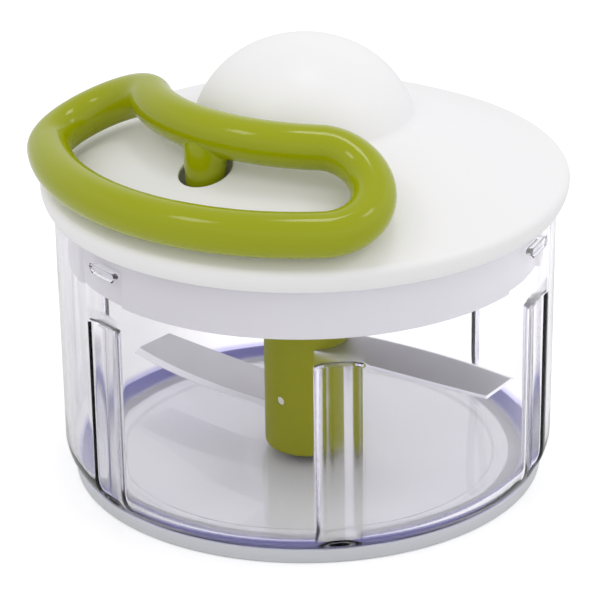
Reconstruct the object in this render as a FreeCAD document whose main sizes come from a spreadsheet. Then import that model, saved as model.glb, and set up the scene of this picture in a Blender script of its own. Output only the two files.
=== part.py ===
"""Pull-cord food chopper: a clear bowl, a lid that holds a spring-loaded cord reel, and a blade hub.

The origin is the centre of the flat underside, +Z is up, and the front of the object faces -Y.
Azimuths are turned from +X towards +Y.  All sizes are in millimetres and degrees.
"""
import FreeCAD, Part
import math
import os

import Sketcher
from FreeCAD import Placement, Rotation, Vector

doc = FreeCAD.newDocument("food_chopper")
sheet = doc.addObject("Spreadsheet::Sheet", "Sizes")

SIZES = {
    # Bowl: a straight-sided cup with a rounded foot, six pressed channels and three lid lugs.
    "bowl_rim_radius": 73.1,
    "bowl_foot_radius": 72.4,
    "bowl_rim_top": 88.0,
    "bowl_underside": 2.0,
    "bowl_floor": 4.5,
    "bowl_wall": 2.0,
    "foot_round": 10.0,
    "inside_round": 8.0,
    "rib_radius": 68.0,
    "rib_top": 64.8,
    "rib_spread": 11.6,
    "channel_radius": 70.1,
    "channel_top": 62.8,
    "channel_mouth": 15.6,
    "channel_floor_width": 8.0,
    "channel_azimuth": -83.0,
    "floor_ring_inner": 57.0,
    "floor_ring_outer": 60.0,
    "floor_ring_depth": 0.6,
    "floor_boss_radius": 9.0,
    "floor_boss_top": 6.0,
    "edge_break": 0.6,
    "lug_width": 11.5,
    "lug_height": 2.6,
    "lug_middle": 79.1,
    "lug_radius": 69.05,
    "lug_azimuth": -143.0,
    # Base pad: a soft disc whose rim hugs the foot of the bowl.
    "pad_radius": 69.4,
    "pad_rim_radius": 69.8,
    "pad_rim_top": 4.6,
    "pad_thickness": 1.2,
    "pad_foot_break": 1.0,
    "pad_foot_round": 1.2,
    "pad_lip": 0.3,
    "pad_lip_round": 0.9,
    "pad_recess_margin": 2.0,
    "pad_gap": 0.06,
    # Pivot pin of the blades.
    "pivot_radius": 3.0,
    "pivot_bottom": 3.2,
    "pivot_top": 20.0,
    "pivot_tip": 1.4,
    "running_gap": 0.05,
    # Blade hub, its bush, cross pin and two blades.
    "hub_radius": 12.8,
    "hub_bottom": 6.8,
    "hub_top": 70.5,
    "hub_round": 2.0,
    "bush_radius": 6.0,
    "bush_bottom": 7.4,
    "bush_top": 20.0,
    "bush_flange": 8.0,
    "bush_flange_height": 1.0,
    "bore_top": 20.8,
    "cross_pin_radius": 1.3,
    "cross_pin_height": 22.9,
    "cross_pin_azimuth": -39.3,
    "blade_reach": 66.5,
    "blade_back": 9.3,
    "blade_front": 8.9,
    "blade_tip": 6.4,
    "blade_edge_round": 169.0,
    "blade_root": 8.8,
    "blade_thickness": 1.2,
    "bevel_width": 2.4,
    "bevel_depth": 0.9,
    "lower_blade_height": 17.0,
    "lower_blade_azimuth": 138.3,
    "upper_blade_height": 40.0,
    "upper_blade_azimuth": -33.7,
    # Hexagon drive between the reel and the hub.
    "drive_flats": 12.0,
    "socket_bottom": 60.0,
    "drive_bottom": 61.5,
    # Lid shell: brim, shallow cone and dome.
    "lid_wall": 2.2,
    "brim_bottom": 86.4,
    "brim_bottom_radius": 75.3,
    "brim_radius": 76.8,
    "brim_widest": 91.0,
    "brim_round": 2.5,
    "brim_side_round": 9.0,
    "brim_inner_radius": 73.5,
    "seat": 88.1,
    "seat_inner_radius": 67.6,
    "cone_edge_radius": 75.35,
    "cone_edge": 93.2,
    "cone_round": 340.0,
    "crease": 109.8,
    "ceiling_crease_radius": 29.8,
    "ceiling_edge": 94.4,
    "dome_top": 132.6,
    "crown_round": 36.0,
    "crown_angle": 30.0,
    "dome_side_round": 30.3,
    # Dock hole for the handle stem, with the cord eyelet in its floor.
    "dock_distance": 43.2,
    "dock_azimuth": -130.0,
    "dock_radius": 7.6,
    "dock_wall": 2.2,
    "dock_floor": 93.0,
    "dock_bottom": 90.2,
    "eyelet_radius": 3.2,
    "eyelet_flange": 4.6,
    "eyelet_flange_height": 0.8,
    "eyelet_lip": 0.5,
    "eyelet_bore": 1.3,
    # Inner cover: the white skirt and plate that close the lid from below.
    "skirt_radius": 69.5,
    "skirt_wall": 2.0,
    "skirt_bottom": 70.0,
    "skirt_edge": 0.4,
    "plate_bottom": 71.5,
    "plate_top": 73.5,
    "plate_hole": 8.5,
    "groove_radius": 68.5,
    "groove_top": 80.9,
    "groove_half_angle": 9.0,
    "groove_azimuth": -26.5,
    "post_distance": 55.0,
    "post_azimuth": -73.0,
    "post_radius": 4.2,
    "screw_radius": 1.5,
    "screw_head_radius": 3.0,
    "screw_head_height": 1.3,
    "screw_length": 12.5,
    "bore_spare": 1.0,
    "slot_reach": 0.6,
    "slot_half_width": 0.14,
    "slot_depth": 0.5,
    # Reel: drum with spring cup, turning on a fixed axle.
    "axle_radius": 3.0,
    "axle_bottom": 79.95,
    "axle_top": 118.0,
    "axle_boss_radius": 8.0,
    "axle_boss_bottom": 99.5,
    "axle_tap": 9.0,
    "axle_screw_head_height": 1.6,
    "drum_bottom": 77.0,
    "drum_flange_radius": 25.0,
    "drum_flange": 2.0,
    "drum_core_radius": 17.5,
    "drum_core_top": 85.0,
    "counterbore_radius": 7.5,
    "counterbore_top": 80.0,
    "cup_radius": 22.0,
    "cup_wall": 1.6,
    "cup_floor": 88.3,
    "cup_top": 97.0,
    "cover_thickness": 1.2,
    "cover_gap": 0.7,
    "arbor_radius": 5.5,
    "arbor_gap": 0.15,
    "washer_radius": 7.0,
    "washer_thickness": 1.0,
    "coupler_radius": 12.0,
    "coupler_bottom": 74.5,
    "stub_lead": 1.0,
    "small_screw_radius": 1.0,
    "small_screw_distance": 9.8,
    "small_screw_head": 1.9,
    "small_screw_head_height": 0.9,
    "small_screw_length": 7.0,
    "small_bore_spare": 0.3,
    "spring_thickness": 0.5,
    "spring_gap": 0.1,
    "spring_lift": 0.35,
    "spring_height": 8.0,
    "spring_turns": 5.0,
    # Cord and pull handle.
    "cord_diameter": 2.0,
    "cord_bend": 4.0,
    "cord_gap": 0.15,
    "cord_end": 88.5,
    "handle_tube": 6.35,
    "handle_outer": 73.7,
    "handle_inner": 41.9,
    "handle_lobe": 15.0,
    "handle_lobe_side": 40.5,
    "handle_lobe_reach": 42.5,
    "lobe_first_joint": 0.36,
    "lobe_second_joint": 0.68,
    "handle_slope": 0.45,
    "handle_level": 135.9,
    "stem_radius": 6.0,
    "stem_tip_radius": 5.3,
    "stem_bottom": 93.1,
    "stem_bore": 3.6,
    "stem_bore_top": 103.6,
    "stem_blend": 3.0,
    "plug_bottom": 93.6,
    "plug_top": 97.6,
    "knot_radius": 2.8,
}


class Size:
    """A number that knows the sheet expression it comes from, so both can be used together."""

    def __init__(self, value, text):
        self.value = value
        self.text = text

    def _join(self, other, sign, value):
        return Size(value, "(%s %s %s)" % (self.text, sign, other.text))

    def __add__(self, other):
        other = as_size(other)
        return self._join(other, "+", self.value + other.value)

    def __sub__(self, other):
        other = as_size(other)
        return self._join(other, "-", self.value - other.value)

    def __mul__(self, other):
        other = as_size(other)
        return self._join(other, "*", self.value * other.value)

    def __truediv__(self, other):
        other = as_size(other)
        return self._join(other, "/", self.value / other.value)

    def __radd__(self, other):
        return as_size(other) + self

    def __rsub__(self, other):
        return as_size(other) - self

    def __rmul__(self, other):
        return as_size(other) * self

    def __neg__(self):
        return 0 - self


def as_size(number):
    """Take a Size as it is and give a plain number its own text."""
    return number if isinstance(number, Size) else Size(float(number), "%.10g" % number)


def root(square):
    return Size(math.sqrt(square.value), "sqrt(%s)" % square.text)


def cosine(angle):
    return Size(math.cos(math.radians(angle.value)), "cos(%s * 1 deg)" % angle.text)


def sine(angle):
    return Size(math.sin(math.radians(angle.value)), "sin(%s * 1 deg)" % angle.text)


class Sheet:
    """Reads the spreadsheet: s.hub_radius is the Size behind the cell with that alias."""

    def __getattr__(self, alias):
        return Size(float(sheet.get(alias)), "Sizes." + alias)


for row, (alias, number) in enumerate(SIZES.items(), start=1):
    sheet.set("A%d" % row, alias)
    sheet.set("B%d" % row, str(number))
    sheet.setAlias("B%d" % row, alias)
doc.recompute()
s = Sheet()


# ---------------------------------------------------------------- building blocks

def new_body(name):
    body = doc.addObject("PartDesign::Body", name)
    body.Label = name
    return body


def new_sketch(body, name, role="XZ_Plane", height=None, turn=None):
    """A sketch on one of the body's origin planes, turned about Z and raised if asked."""
    sketch = body.newObject("Sketcher::SketchObject", name)
    base = next(plane for plane in body.Origin.OriginFeatures if plane.Role == role)
    sketch.AttachmentSupport = [(base, "")]
    sketch.MapMode = "FlatFace"
    if turn is not None:
        axis = Vector(0, 0, 1) if role == "XY_Plane" else Vector(0, 1, 0)
        sketch.AttachmentOffset = Placement(Vector(), Rotation(axis, turn.value))
    if height is not None:
        sketch.setExpression("AttachmentOffset.Base.z", height.text)
    return sketch


def fix_point(sketch, geometry, end, point):
    """Hold one end of a line or arc at a point whose coordinates are Sizes."""
    for kind, axis, size in (("DistanceX", -2, point[0]), ("DistanceY", -1, point[1])):
        if abs(size.value) < 1e-9:
            sketch.addConstraint(Sketcher.Constraint("PointOnObject", geometry, end, axis))
            continue
        index = sketch.addConstraint(Sketcher.Constraint(kind, -1, 1, geometry, end, size.value))
        sketch.setExpression("Constraints[%d]" % index, size.text)


def outline(sketch, corners):
    """Draw a closed outline through corners (x, y) or (x, y, radius).

    A radius makes the stretch that reaches the corner an arc: it bends to the left of the
    direction of travel when the radius is positive, and to the right when it is negative.
    """
    corners = [tuple(as_size(part) for part in corner) for corner in corners]
    ends = []
    for index, corner in enumerate(corners):
        before = corners[index - 1]
        start = Vector(before[0].value, before[1].value, 0)
        stop = Vector(corner[0].value, corner[1].value, 0)
        if len(corner) == 2:
            number = sketch.addGeometry(Part.LineSegment(start, stop), False)
            ends.append((number, 1, 2))
            continue
        radius = abs(corner[2].value)
        left = corner[2].value > 0
        chord = stop - start
        normal = Vector(-chord.y, chord.x, 0).normalize() * (1 if left else -1)
        middle = (start + stop) * 0.5 + normal * math.sqrt(radius ** 2 - chord.Length ** 2 / 4)
        low, high = (start, stop) if left else (stop, start)
        angles = [math.atan2(end.y - middle.y, end.x - middle.x) for end in (low, high)]
        if angles[1] < angles[0]:
            angles[1] += 2 * math.pi
        circle = Part.Circle(middle, Vector(0, 0, 1), radius)
        number = sketch.addGeometry(Part.ArcOfCircle(circle, angles[0], angles[1]), False)
        bend = sketch.addConstraint(Sketcher.Constraint("Radius", number, radius))
        size = corner[2] if left else -corner[2]
        sketch.setExpression("Constraints[%d]" % bend, size.text)
        ends.append((number, 1, 2) if left else (number, 2, 1))
    for index, (number, start_end, stop_end) in enumerate(ends):
        later = ends[(index + 1) % len(ends)]
        sketch.addConstraint(Sketcher.Constraint("Coincident", number, stop_end, later[0], later[1]))
        fix_point(sketch, number, stop_end, corners[index][:2])


def disc(sketch, radius, x=0, y=0):
    """Draw one circle, centred on the sketch's origin unless told otherwise."""
    radius, x, y = as_size(radius), as_size(x), as_size(y)
    circle = Part.Circle(Vector(x.value, y.value, 0), Vector(0, 0, 1), radius.value)
    number = sketch.addGeometry(circle, False)
    bend = sketch.addConstraint(Sketcher.Constraint("Radius", number, radius.value))
    sketch.setExpression("Constraints[%d]" % bend, radius.text)
    fix_point(sketch, number, 3, (x, y))


def hexagon(sketch, across_flats):
    """Draw a hexagon with two flats parallel to the sketch's Y axis."""
    half = across_flats * 0.5
    corner = across_flats * (0.5 / math.cos(math.pi / 6))
    outline(sketch, [(half, -0.5 * corner), (half, 0.5 * corner), (as_size(0), corner),
                     (-half, 0.5 * corner), (-half, -0.5 * corner), (as_size(0), -corner)])


def feature(body, kind, name, sketch, **settings):
    """Add a PartDesign feature; Sizes among its settings are bound to the sheet."""
    made = body.newObject("PartDesign::" + kind, name)
    made.Profile = sketch
    if kind in ("Revolution", "Groove"):
        made.ReferenceAxis = (sketch, ["V_Axis"])
    for key, value in settings.items():
        if isinstance(value, Size):
            made.setExpression(key, value.text)
        else:
            setattr(made, key, value)
    return made


def turned(name, corners):
    """A body made by turning one outline about Z."""
    body = new_body(name)
    sketch = new_sketch(body, name + "_section")
    outline(sketch, corners)
    feature(body, "Revolution", name + "_turned", sketch)
    return body


def cut(body, kind, name, sketch, **settings):
    """Add a Pocket or Groove and make sure that it takes something away."""
    doc.recompute()
    before = body.Shape.Volume
    made = feature(body, kind, name, sketch, **settings)
    doc.recompute()
    if not body.Shape.Volume < before - 1e-6:
        raise ValueError("%s cuts nothing" % name)
    return made


def repeat(body, name, originals, count):
    """Repeat features round the Z axis."""
    pattern = body.newObject("PartDesign::PolarPattern", name)
    pattern.Originals = originals
    axis = next(line for line in body.Origin.OriginFeatures if line.Role == "Z_Axis")
    pattern.Axis = (axis, [""])
    pattern.Angle = 360
    pattern.Occurrences = count
    body.Tip = pattern
    return pattern


def edge_names(shape, test):
    """Names of the edges whose every point, sampled at both ends and the middle, passes a test."""
    names = []
    for number, edge in enumerate(shape.Edges, start=1):
        low, high = edge.ParameterRange
        points = [edge.valueAt(value) for value in (low, (low + high) / 2, high)]
        if all(test(point) for point in points):
            names.append("Edge%d" % number)
    return names


def dressed(body, kind, name, test, **settings):
    """Add a Fillet or Chamfer to the edges that pass a test."""
    doc.recompute()
    base = body.Tip
    names = edge_names(base.Shape, test)
    if not names:
        raise ValueError("%s finds no edge" % name)
    made = body.newObject("PartDesign::" + kind, name)
    made.Base = (base, names)
    for key, value in settings.items():
        if isinstance(value, Size):
            made.setExpression(key, value.text)
        else:
            setattr(made, key, value)
    return made


def near(value, size, slack=0.02):
    return abs(value - size.value) < slack


# ---------------------------------------------------------------- bowl

def inside_wall(height):
    """Radius of the bowl's inner face, which leans out evenly from the foot to the rim."""
    foot = s.bowl_foot_radius - s.bowl_wall
    lean = (s.bowl_rim_radius - s.bowl_foot_radius) / (s.bowl_rim_top - inside_foot())
    return foot + (height - inside_foot()) * lean


def inside_foot():
    return s.bowl_floor + s.inside_round


def inside_corner(radius):
    """Height of the rounded inside corner at a radius."""
    middle = s.bowl_foot_radius - s.bowl_wall - s.inside_round
    return inside_foot() - root(s.inside_round * s.inside_round - (radius - middle) * (radius - middle))


def make_bowl():
    """Clear cup: the ribs are what stays between six wide hollows, with a channel behind each."""
    bowl = turned("bowl", [
        (0, s.bowl_underside),
        (s.bowl_foot_radius - s.foot_round, s.bowl_underside),
        (s.bowl_foot_radius, s.bowl_underside + s.foot_round, s.foot_round),
        (s.bowl_rim_radius, s.bowl_rim_top),
        (0, s.bowl_rim_top)])
    hollow = new_sketch(bowl, "bowl_hollow_section")
    middle = s.bowl_foot_radius - s.bowl_wall - s.inside_round
    ring_bottom = s.bowl_floor - s.floor_ring_depth
    outline(hollow, [
        (0, s.floor_boss_top),
        (s.floor_boss_radius, s.floor_boss_top),
        (s.floor_boss_radius + s.edge_break, s.bowl_floor),
        (s.floor_ring_inner, s.bowl_floor),
        (s.floor_ring_inner + s.floor_ring_depth, ring_bottom),
        (s.floor_ring_outer - s.floor_ring_depth, ring_bottom),
        (s.floor_ring_outer, s.bowl_floor),
        (middle, s.bowl_floor),
        (s.rib_radius, inside_corner(s.rib_radius), s.inside_round),
        (s.rib_radius, s.rib_top),
        (inside_wall(s.rib_top), s.rib_top),
        (inside_wall(s.bowl_rim_top), s.bowl_rim_top),
        (0, s.bowl_rim_top)])
    cut(bowl, "Groove", "bowl_hollow", hollow)
    between = new_sketch(bowl, "between_ribs_section", turn=s.channel_azimuth + 30)
    above_rib = s.rib_top + 1
    inward = s.rib_radius - 1
    outline(between, [
        (inward, inside_corner(s.rib_radius) + 2),
        (s.rib_radius, inside_corner(s.rib_radius)),
        (inside_wall(inside_foot()), inside_foot(), s.inside_round),
        (inside_wall(above_rib), above_rib),
        (inward, above_rib)])
    hollow_sector = cut(bowl, "Groove", "between_ribs", between, Angle=60 - s.rib_spread,
                        Midplane=True)
    repeat(bowl, "six_ribs", [hollow_sector], 6)
    channel = new_sketch(bowl, "channel_section", "XY_Plane", turn=s.channel_azimuth)
    outside = s.bowl_rim_radius + 1
    outline(channel, [
        (s.channel_radius, -0.5 * s.channel_floor_width),
        (outside, -0.5 * s.channel_mouth),
        (outside, 0.5 * s.channel_mouth),
        (s.channel_radius, 0.5 * s.channel_floor_width)])
    groove = cut(bowl, "Pocket", "channel", channel, Length=s.channel_top, Reversed=True)
    repeat(bowl, "six_channels", [groove], 6)
    # The lug section is drawn looking outwards, on a plane that cuts the wall's inner face.
    lug = new_sketch(bowl, "lug_section", "YZ_Plane")
    turn = s.lug_azimuth.value
    reach = s.lug_radius.value
    lug.AttachmentOffset = Placement(
        Vector(reach * math.sin(math.radians(turn)), 0, reach * math.cos(math.radians(turn))),
        Rotation(Vector(0, 1, 0), turn))
    end = 0.5 * (s.lug_width - s.lug_height)
    low = s.lug_middle - 0.5 * s.lug_height
    high = s.lug_middle + 0.5 * s.lug_height
    bend = 0.5001 * s.lug_height
    outline(lug, [(-end, low, bend), (end, low), (end, high, bend), (-end, high)])
    pad = feature(bowl, "Pad", "lug", lug, Length=s.bowl_rim_radius - s.lug_radius - 0.5 * s.bowl_wall)
    repeat(bowl, "three_lugs", [pad], 3)
    pin_hole = new_sketch(bowl, "pin_hole_section", "XY_Plane", height=s.floor_boss_top)
    disc(pin_hole, s.pivot_radius)
    cut(bowl, "Pocket", "pin_hole", pin_hole, Length=s.floor_boss_top - s.pivot_bottom)
    return bowl


def make_base_pad():
    """Soft disc under the bowl: its rim follows the rounded foot, with a hair of room."""
    middle = s.bowl_foot_radius - s.foot_round
    centre = s.bowl_underside + s.foot_round
    gap_round = s.foot_round + s.pad_gap
    rise = centre - s.pad_rim_top
    rim_inner = middle + root(gap_round * gap_round - rise * rise)
    return turned("base_pad", [
        (0, 0),
        (s.pad_radius - s.pad_foot_break, 0),
        (s.pad_radius, s.pad_foot_break, s.pad_foot_round),
        (s.pad_rim_radius, s.pad_rim_top - s.edge_break),
        (rim_inner + s.pad_lip, s.pad_rim_top, s.pad_lip_round),
        (rim_inner, s.pad_rim_top),
        (middle, s.bowl_underside - s.pad_gap, -gap_round),
        (s.floor_ring_outer, s.bowl_underside - s.pad_gap),
        (s.floor_ring_outer, s.pad_thickness),
        (s.floor_ring_inner, s.pad_thickness),
        (s.floor_ring_inner, s.bowl_underside - s.pad_gap),
        (s.floor_ring_inner - s.pad_recess_margin, s.bowl_underside - s.pad_gap),
        (s.floor_ring_inner - s.pad_recess_margin, s.pad_thickness),
        (0, s.pad_thickness)])


def make_pivot_pin():
    """Steel pin that stands in the floor boss, with a rounded tip."""
    return turned("bowl_pivot_pin", [
        (0, s.pivot_bottom),
        (s.pivot_radius, s.pivot_bottom),
        (s.pivot_radius, s.pivot_top - s.pivot_tip),
        (s.pivot_radius - s.pivot_tip, s.pivot_top, 1.0001 * s.pivot_tip),
        (0, s.pivot_top)])


# ---------------------------------------------------------------- blades

def make_hub():
    """Green post that carries both blades: bearing bore below, hexagon socket above."""
    hub = turned("blade_hub", [
        (0, s.hub_bottom),
        (s.hub_radius - s.hub_round, s.hub_bottom),
        (s.hub_radius, s.hub_bottom + s.hub_round, s.hub_round),
        (s.hub_radius, s.hub_top - s.edge_break),
        (s.hub_radius - s.edge_break, s.hub_top),
        (0, s.hub_top)])
    bore = new_sketch(hub, "bore_section", "XY_Plane", height=s.hub_bottom)
    disc(bore, s.bush_radius)
    cut(hub, "Pocket", "bore", bore, Length=s.bore_top - s.hub_bottom, Reversed=True)
    recess = new_sketch(hub, "flange_recess_section", "XY_Plane", height=s.hub_bottom)
    disc(recess, s.bush_flange)
    cut(hub, "Pocket", "flange_recess", recess,
        Length=s.bush_bottom + s.bush_flange_height - s.hub_bottom, Reversed=True)
    for name, middle, turn in (
            ("lower_slot", s.lower_blade_height, s.lower_blade_azimuth),
            ("upper_slot", s.upper_blade_height, s.upper_blade_azimuth)):
        slot = new_sketch(hub, name + "_section", "XY_Plane", turn=turn,
                          height=middle - 0.5 * s.blade_thickness)
        outline(slot, [(-s.blade_root, -s.blade_back), (s.hub_radius + 1, -s.blade_back),
                       (s.hub_radius + 1, s.blade_front), (-s.blade_root, s.blade_front)])
        cut(hub, "Pocket", name, slot, Length=s.blade_thickness, Reversed=True)
    across = new_sketch(hub, "cross_pin_section", turn=s.cross_pin_azimuth)
    disc(across, s.cross_pin_radius, 0, s.cross_pin_height)
    cut(hub, "Pocket", "cross_pin_hole", across, Length=3 * s.hub_radius, Midplane=True)
    socket = new_sketch(hub, "socket_section", "XY_Plane", height=s.socket_bottom)
    hexagon(socket, s.drive_flats + 2 * s.running_gap)
    cut(hub, "Pocket", "socket", socket, Length=s.hub_top + 1 - s.socket_bottom, Reversed=True)
    return hub


def make_bush():
    """Flanged bearing bush pressed into the hub; it turns on the pivot pin."""
    bore = s.pivot_radius + s.running_gap
    return turned("hub_bearing_bush", [
        (bore, s.bush_bottom),
        (s.bush_flange, s.bush_bottom),
        (s.bush_flange, s.bush_bottom + s.bush_flange_height),
        (s.bush_radius, s.bush_bottom + s.bush_flange_height),
        (s.bush_radius, s.bush_top),
        (bore, s.bush_top)])


def make_cross_pin():
    pin = new_body("hub_cross_pin")
    sketch = new_sketch(pin, "cross_pin_disc", turn=s.cross_pin_azimuth)
    disc(sketch, s.cross_pin_radius, 0, s.cross_pin_height)
    feature(pin, "Pad", "cross_pin_length", sketch, Length=2 * s.hub_radius - 1, Midplane=True)
    return pin


def make_blade(name, middle, turn, hole):
    """Flat steel blade: straight back, gently bowed front edge ground to a bevel on top."""
    blade = new_body(name)
    sketch = new_sketch(blade, name + "_outline", "XY_Plane")
    outline(sketch, [
        (-s.blade_root, -s.blade_back),
        (s.blade_reach, -s.blade_back),
        (s.blade_reach, s.blade_tip),
        (s.hub_radius, s.blade_front, s.blade_edge_round),
        (-s.blade_root, s.blade_front)])
    disc(sketch, hole)
    feature(blade, "Pad", name + "_sheet", sketch, Length=s.blade_thickness)
    dressed(blade, "Chamfer", name + "_bevel",
            lambda point: near(point.z, s.blade_thickness) and point.y > s.blade_tip.value - 0.01,
            ChamferType="Two distances", Size=s.bevel_depth, Size2=s.bevel_width)
    blade.Placement = Placement(Vector(), Rotation(Vector(0, 0, 1), turn.value))
    blade.setExpression("Placement.Base.z", (middle - 0.5 * s.blade_thickness).text)
    return blade


# ---------------------------------------------------------------- lid

def lid_surface():
    """Corners of the lid's upper surface: slightly domed cone, crease, dome side and crown."""
    crown_middle = s.dome_top - s.crown_round
    side_x = (s.crown_round - s.dome_side_round) * sine(s.crown_angle)
    side_z = crown_middle + (s.crown_round - s.dome_side_round) * cosine(s.crown_angle)
    rise = s.crease - side_z
    return [
        (side_x + root(s.dome_side_round * s.dome_side_round - rise * rise), s.crease, s.cone_round),
        (s.crown_round * sine(s.crown_angle), crown_middle + s.crown_round * cosine(s.crown_angle),
         s.dome_side_round),
        (0, s.dome_top, s.crown_round)]


def lid_ceiling():
    """Corners of the lid's hidden inner surface: a plain cone up to a single sphere."""
    crease_x = s.ceiling_crease_radius
    crease_z = s.crease - 0.8 * s.lid_wall
    top = s.dome_top - s.lid_wall
    rise = top - crease_z
    return [
        (crease_x, crease_z),
        (0, top, (crease_x * crease_x + rise * rise) / (2 * rise))]


def make_cylinder(name, radius, bottom, top, distance, turn):
    """Upright cylinder that stands at a distance from the Z axis."""
    part = doc.addObject("Part::Cylinder", name)
    part.setExpression("Radius", radius.text)
    part.setExpression("Height", (top - bottom).text)
    part.setExpression("Placement.Base.x", (distance * cosine(turn)).text)
    part.setExpression("Placement.Base.y", (distance * sine(turn)).text)
    part.setExpression("Placement.Base.z", bottom.text)
    return part


def boolean(kind, name, base, tool):
    part = doc.addObject("Part::" + kind, name)
    part.Base = base
    part.Tool = tool
    part.Label = name
    return part


def joined(name, parts):
    part = doc.addObject("Part::MultiFuse", name)
    part.Shapes = parts
    return part


def make_lid_shell():
    """White shell: the solid form less its hollow, with posts, dock tube and axle boss left in."""
    above = s.dome_top + 5
    form = turned("lid_form", [
        (0, s.skirt_bottom),
        (s.seat_inner_radius - 1, s.skirt_bottom),
        (s.seat_inner_radius - 1, s.brim_bottom),
        (s.brim_bottom_radius, s.brim_bottom),
        (s.brim_radius, s.brim_widest, s.brim_side_round),
        (s.cone_edge_radius, s.cone_edge, s.brim_round)] + lid_surface())
    hollow = turned("lid_hollow", [
        (0, s.skirt_bottom - 1),
        (s.brim_inner_radius, s.skirt_bottom - 1),
        (s.brim_inner_radius, s.seat),
        (s.seat_inner_radius, s.seat),
        (s.seat_inner_radius, s.ceiling_edge)] + lid_ceiling())
    still = as_size(0)
    posts = [make_cylinder("post_%d" % number, s.post_radius, s.plate_top, above, s.post_distance,
                           s.post_azimuth + 120 * number) for number in range(3)]
    dock = make_cylinder("dock_tube", s.dock_radius + s.dock_wall, s.dock_bottom, above,
                         s.dock_distance, s.dock_azimuth)
    boss = make_cylinder("axle_boss", s.axle_boss_radius, s.axle_boss_bottom, above, still, still)
    air = boolean("Cut", "lid_air", hollow, joined("lid_stays", posts + [dock, boss]))
    blank = boolean("Cut", "lid_blank", form, air)
    bores = [make_cylinder("post_bore_%d" % number, s.screw_radius, s.plate_top - 1,
                           s.plate_bottom + s.screw_length + s.bore_spare, s.post_distance,
                           s.post_azimuth + 120 * number) for number in range(3)]
    bores.append(make_cylinder("dock_bore", s.dock_radius, s.dock_floor, above,
                               s.dock_distance, s.dock_azimuth))
    bores.append(make_cylinder("eyelet_hole", s.eyelet_radius, s.dock_bottom - 1, s.dock_floor,
                               s.dock_distance, s.dock_azimuth))
    bores.append(make_cylinder("eyelet_seat", s.eyelet_flange,
                               s.dock_floor - s.eyelet_flange_height, s.dock_floor + 1,
                               s.dock_distance, s.dock_azimuth))
    bores.append(make_cylinder("axle_bore", s.axle_radius, s.axle_boss_bottom - 1, s.axle_top,
                               still, still))
    return boolean("Cut", "lid_shell", blank, joined("lid_bores", bores))


def make_inner_cover():
    """White cup that closes the lid from below; its grooves let the bowl's lugs in."""
    inner = s.skirt_radius - s.skirt_wall
    cover = turned("inner_cover", [
        (s.plate_hole, s.plate_bottom),
        (inner, s.plate_bottom),
        (inner, s.skirt_bottom),
        (s.skirt_radius - s.skirt_edge, s.skirt_bottom),
        (s.skirt_radius, s.skirt_bottom + s.skirt_edge),
        (s.skirt_radius, s.seat - s.running_gap),
        (inner, s.seat - s.running_gap),
        (inner, s.plate_top),
        (s.plate_hole, s.plate_top)])
    outside = s.skirt_radius + 1.5
    cos_half = cosine(s.groove_half_angle)
    sin_half = sine(s.groove_half_angle)
    entry = new_sketch(cover, "entry_section", "XY_Plane", height=s.skirt_bottom,
                       turn=s.groove_azimuth)
    outline(entry, [
        (s.groove_radius * cos_half, -(s.groove_radius * sin_half), -s.groove_radius),
        (outside * cos_half, -(outside * sin_half)),
        (outside * cos_half, outside * sin_half),
        (s.groove_radius * cos_half, s.groove_radius * sin_half)])
    groove = cut(cover, "Pocket", "entry", entry, Length=s.groove_top - s.skirt_bottom, Reversed=True)
    repeat(cover, "three_entries", [groove], 3)
    hole = new_sketch(cover, "screw_hole_section", "XY_Plane", height=s.plate_bottom,
                      turn=s.post_azimuth)
    disc(hole, s.screw_radius, s.post_distance, 0)
    drilled = cut(cover, "Pocket", "screw_hole", hole, Length=s.plate_top - s.plate_bottom,
                  Reversed=True)
    repeat(cover, "three_screw_holes", [drilled], 3)
    return cover


def make_screws(name, distance, turn, head_bottom, head_height, head_radius, shank_radius, length):
    """Three equal pan-head screws, driven upwards, as one group of separate solids."""
    group = new_body(name)
    head = new_sketch(group, name + "_head_section", "XY_Plane", height=head_bottom, turn=turn)
    disc(head, head_radius, distance, 0)
    head_pad = feature(group, "Pad", name + "_head", head, Length=head_height)
    shank = new_sketch(group, name + "_shank_section", "XY_Plane", height=head_bottom + head_height,
                       turn=turn)
    disc(shank, shank_radius, distance, 0)
    shank_pad = feature(group, "Pad", name + "_shank", shank, Length=length)
    slot = new_sketch(group, name + "_slot_section", "XY_Plane", height=head_bottom, turn=turn)
    arm = s.slot_reach * head_radius
    half = s.slot_half_width * head_radius
    outline(slot, [(distance - arm, -half), (distance + arm, -half),
                   (distance + arm, half), (distance - arm, half)])
    slot_cut = cut(group, "Pocket", name + "_slot", slot, Length=s.slot_depth * head_height,
                   Reversed=True)
    repeat(group, name + "_three", [head_pad, shank_pad, slot_cut], 3)
    return group


def make_eyelet():
    """Flanged metal eyelet that the cord runs through, in the floor of the dock tube."""
    seat = s.dock_floor - s.eyelet_flange_height
    eyelet = turned("cord_eyelet", [
        (s.eyelet_bore, s.dock_bottom - s.eyelet_lip),
        (s.eyelet_radius, s.dock_bottom - s.eyelet_lip),
        (s.eyelet_radius, seat),
        (s.eyelet_flange, seat),
        (s.eyelet_flange, s.dock_floor),
        (s.eyelet_bore + s.eyelet_flange_height, s.dock_floor),
        (s.eyelet_bore, seat, 1.0001 * s.eyelet_flange_height)])
    eyelet.setExpression("Placement.Base.x", (s.dock_distance * cosine(s.dock_azimuth)).text)
    eyelet.setExpression("Placement.Base.y", (s.dock_distance * sine(s.dock_azimuth)).text)
    return eyelet


# ---------------------------------------------------------------- reel

def make_axle():
    """Steel axle pressed into the lid boss, tapped from below for its screw."""
    return turned("reel_axle", [
        (s.screw_radius, s.axle_bottom),
        (s.axle_radius, s.axle_bottom),
        (s.axle_radius, s.axle_top),
        (0, s.axle_top),
        (0, s.axle_bottom + s.axle_tap),
        (s.screw_radius, s.axle_bottom + s.axle_tap)])


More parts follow.
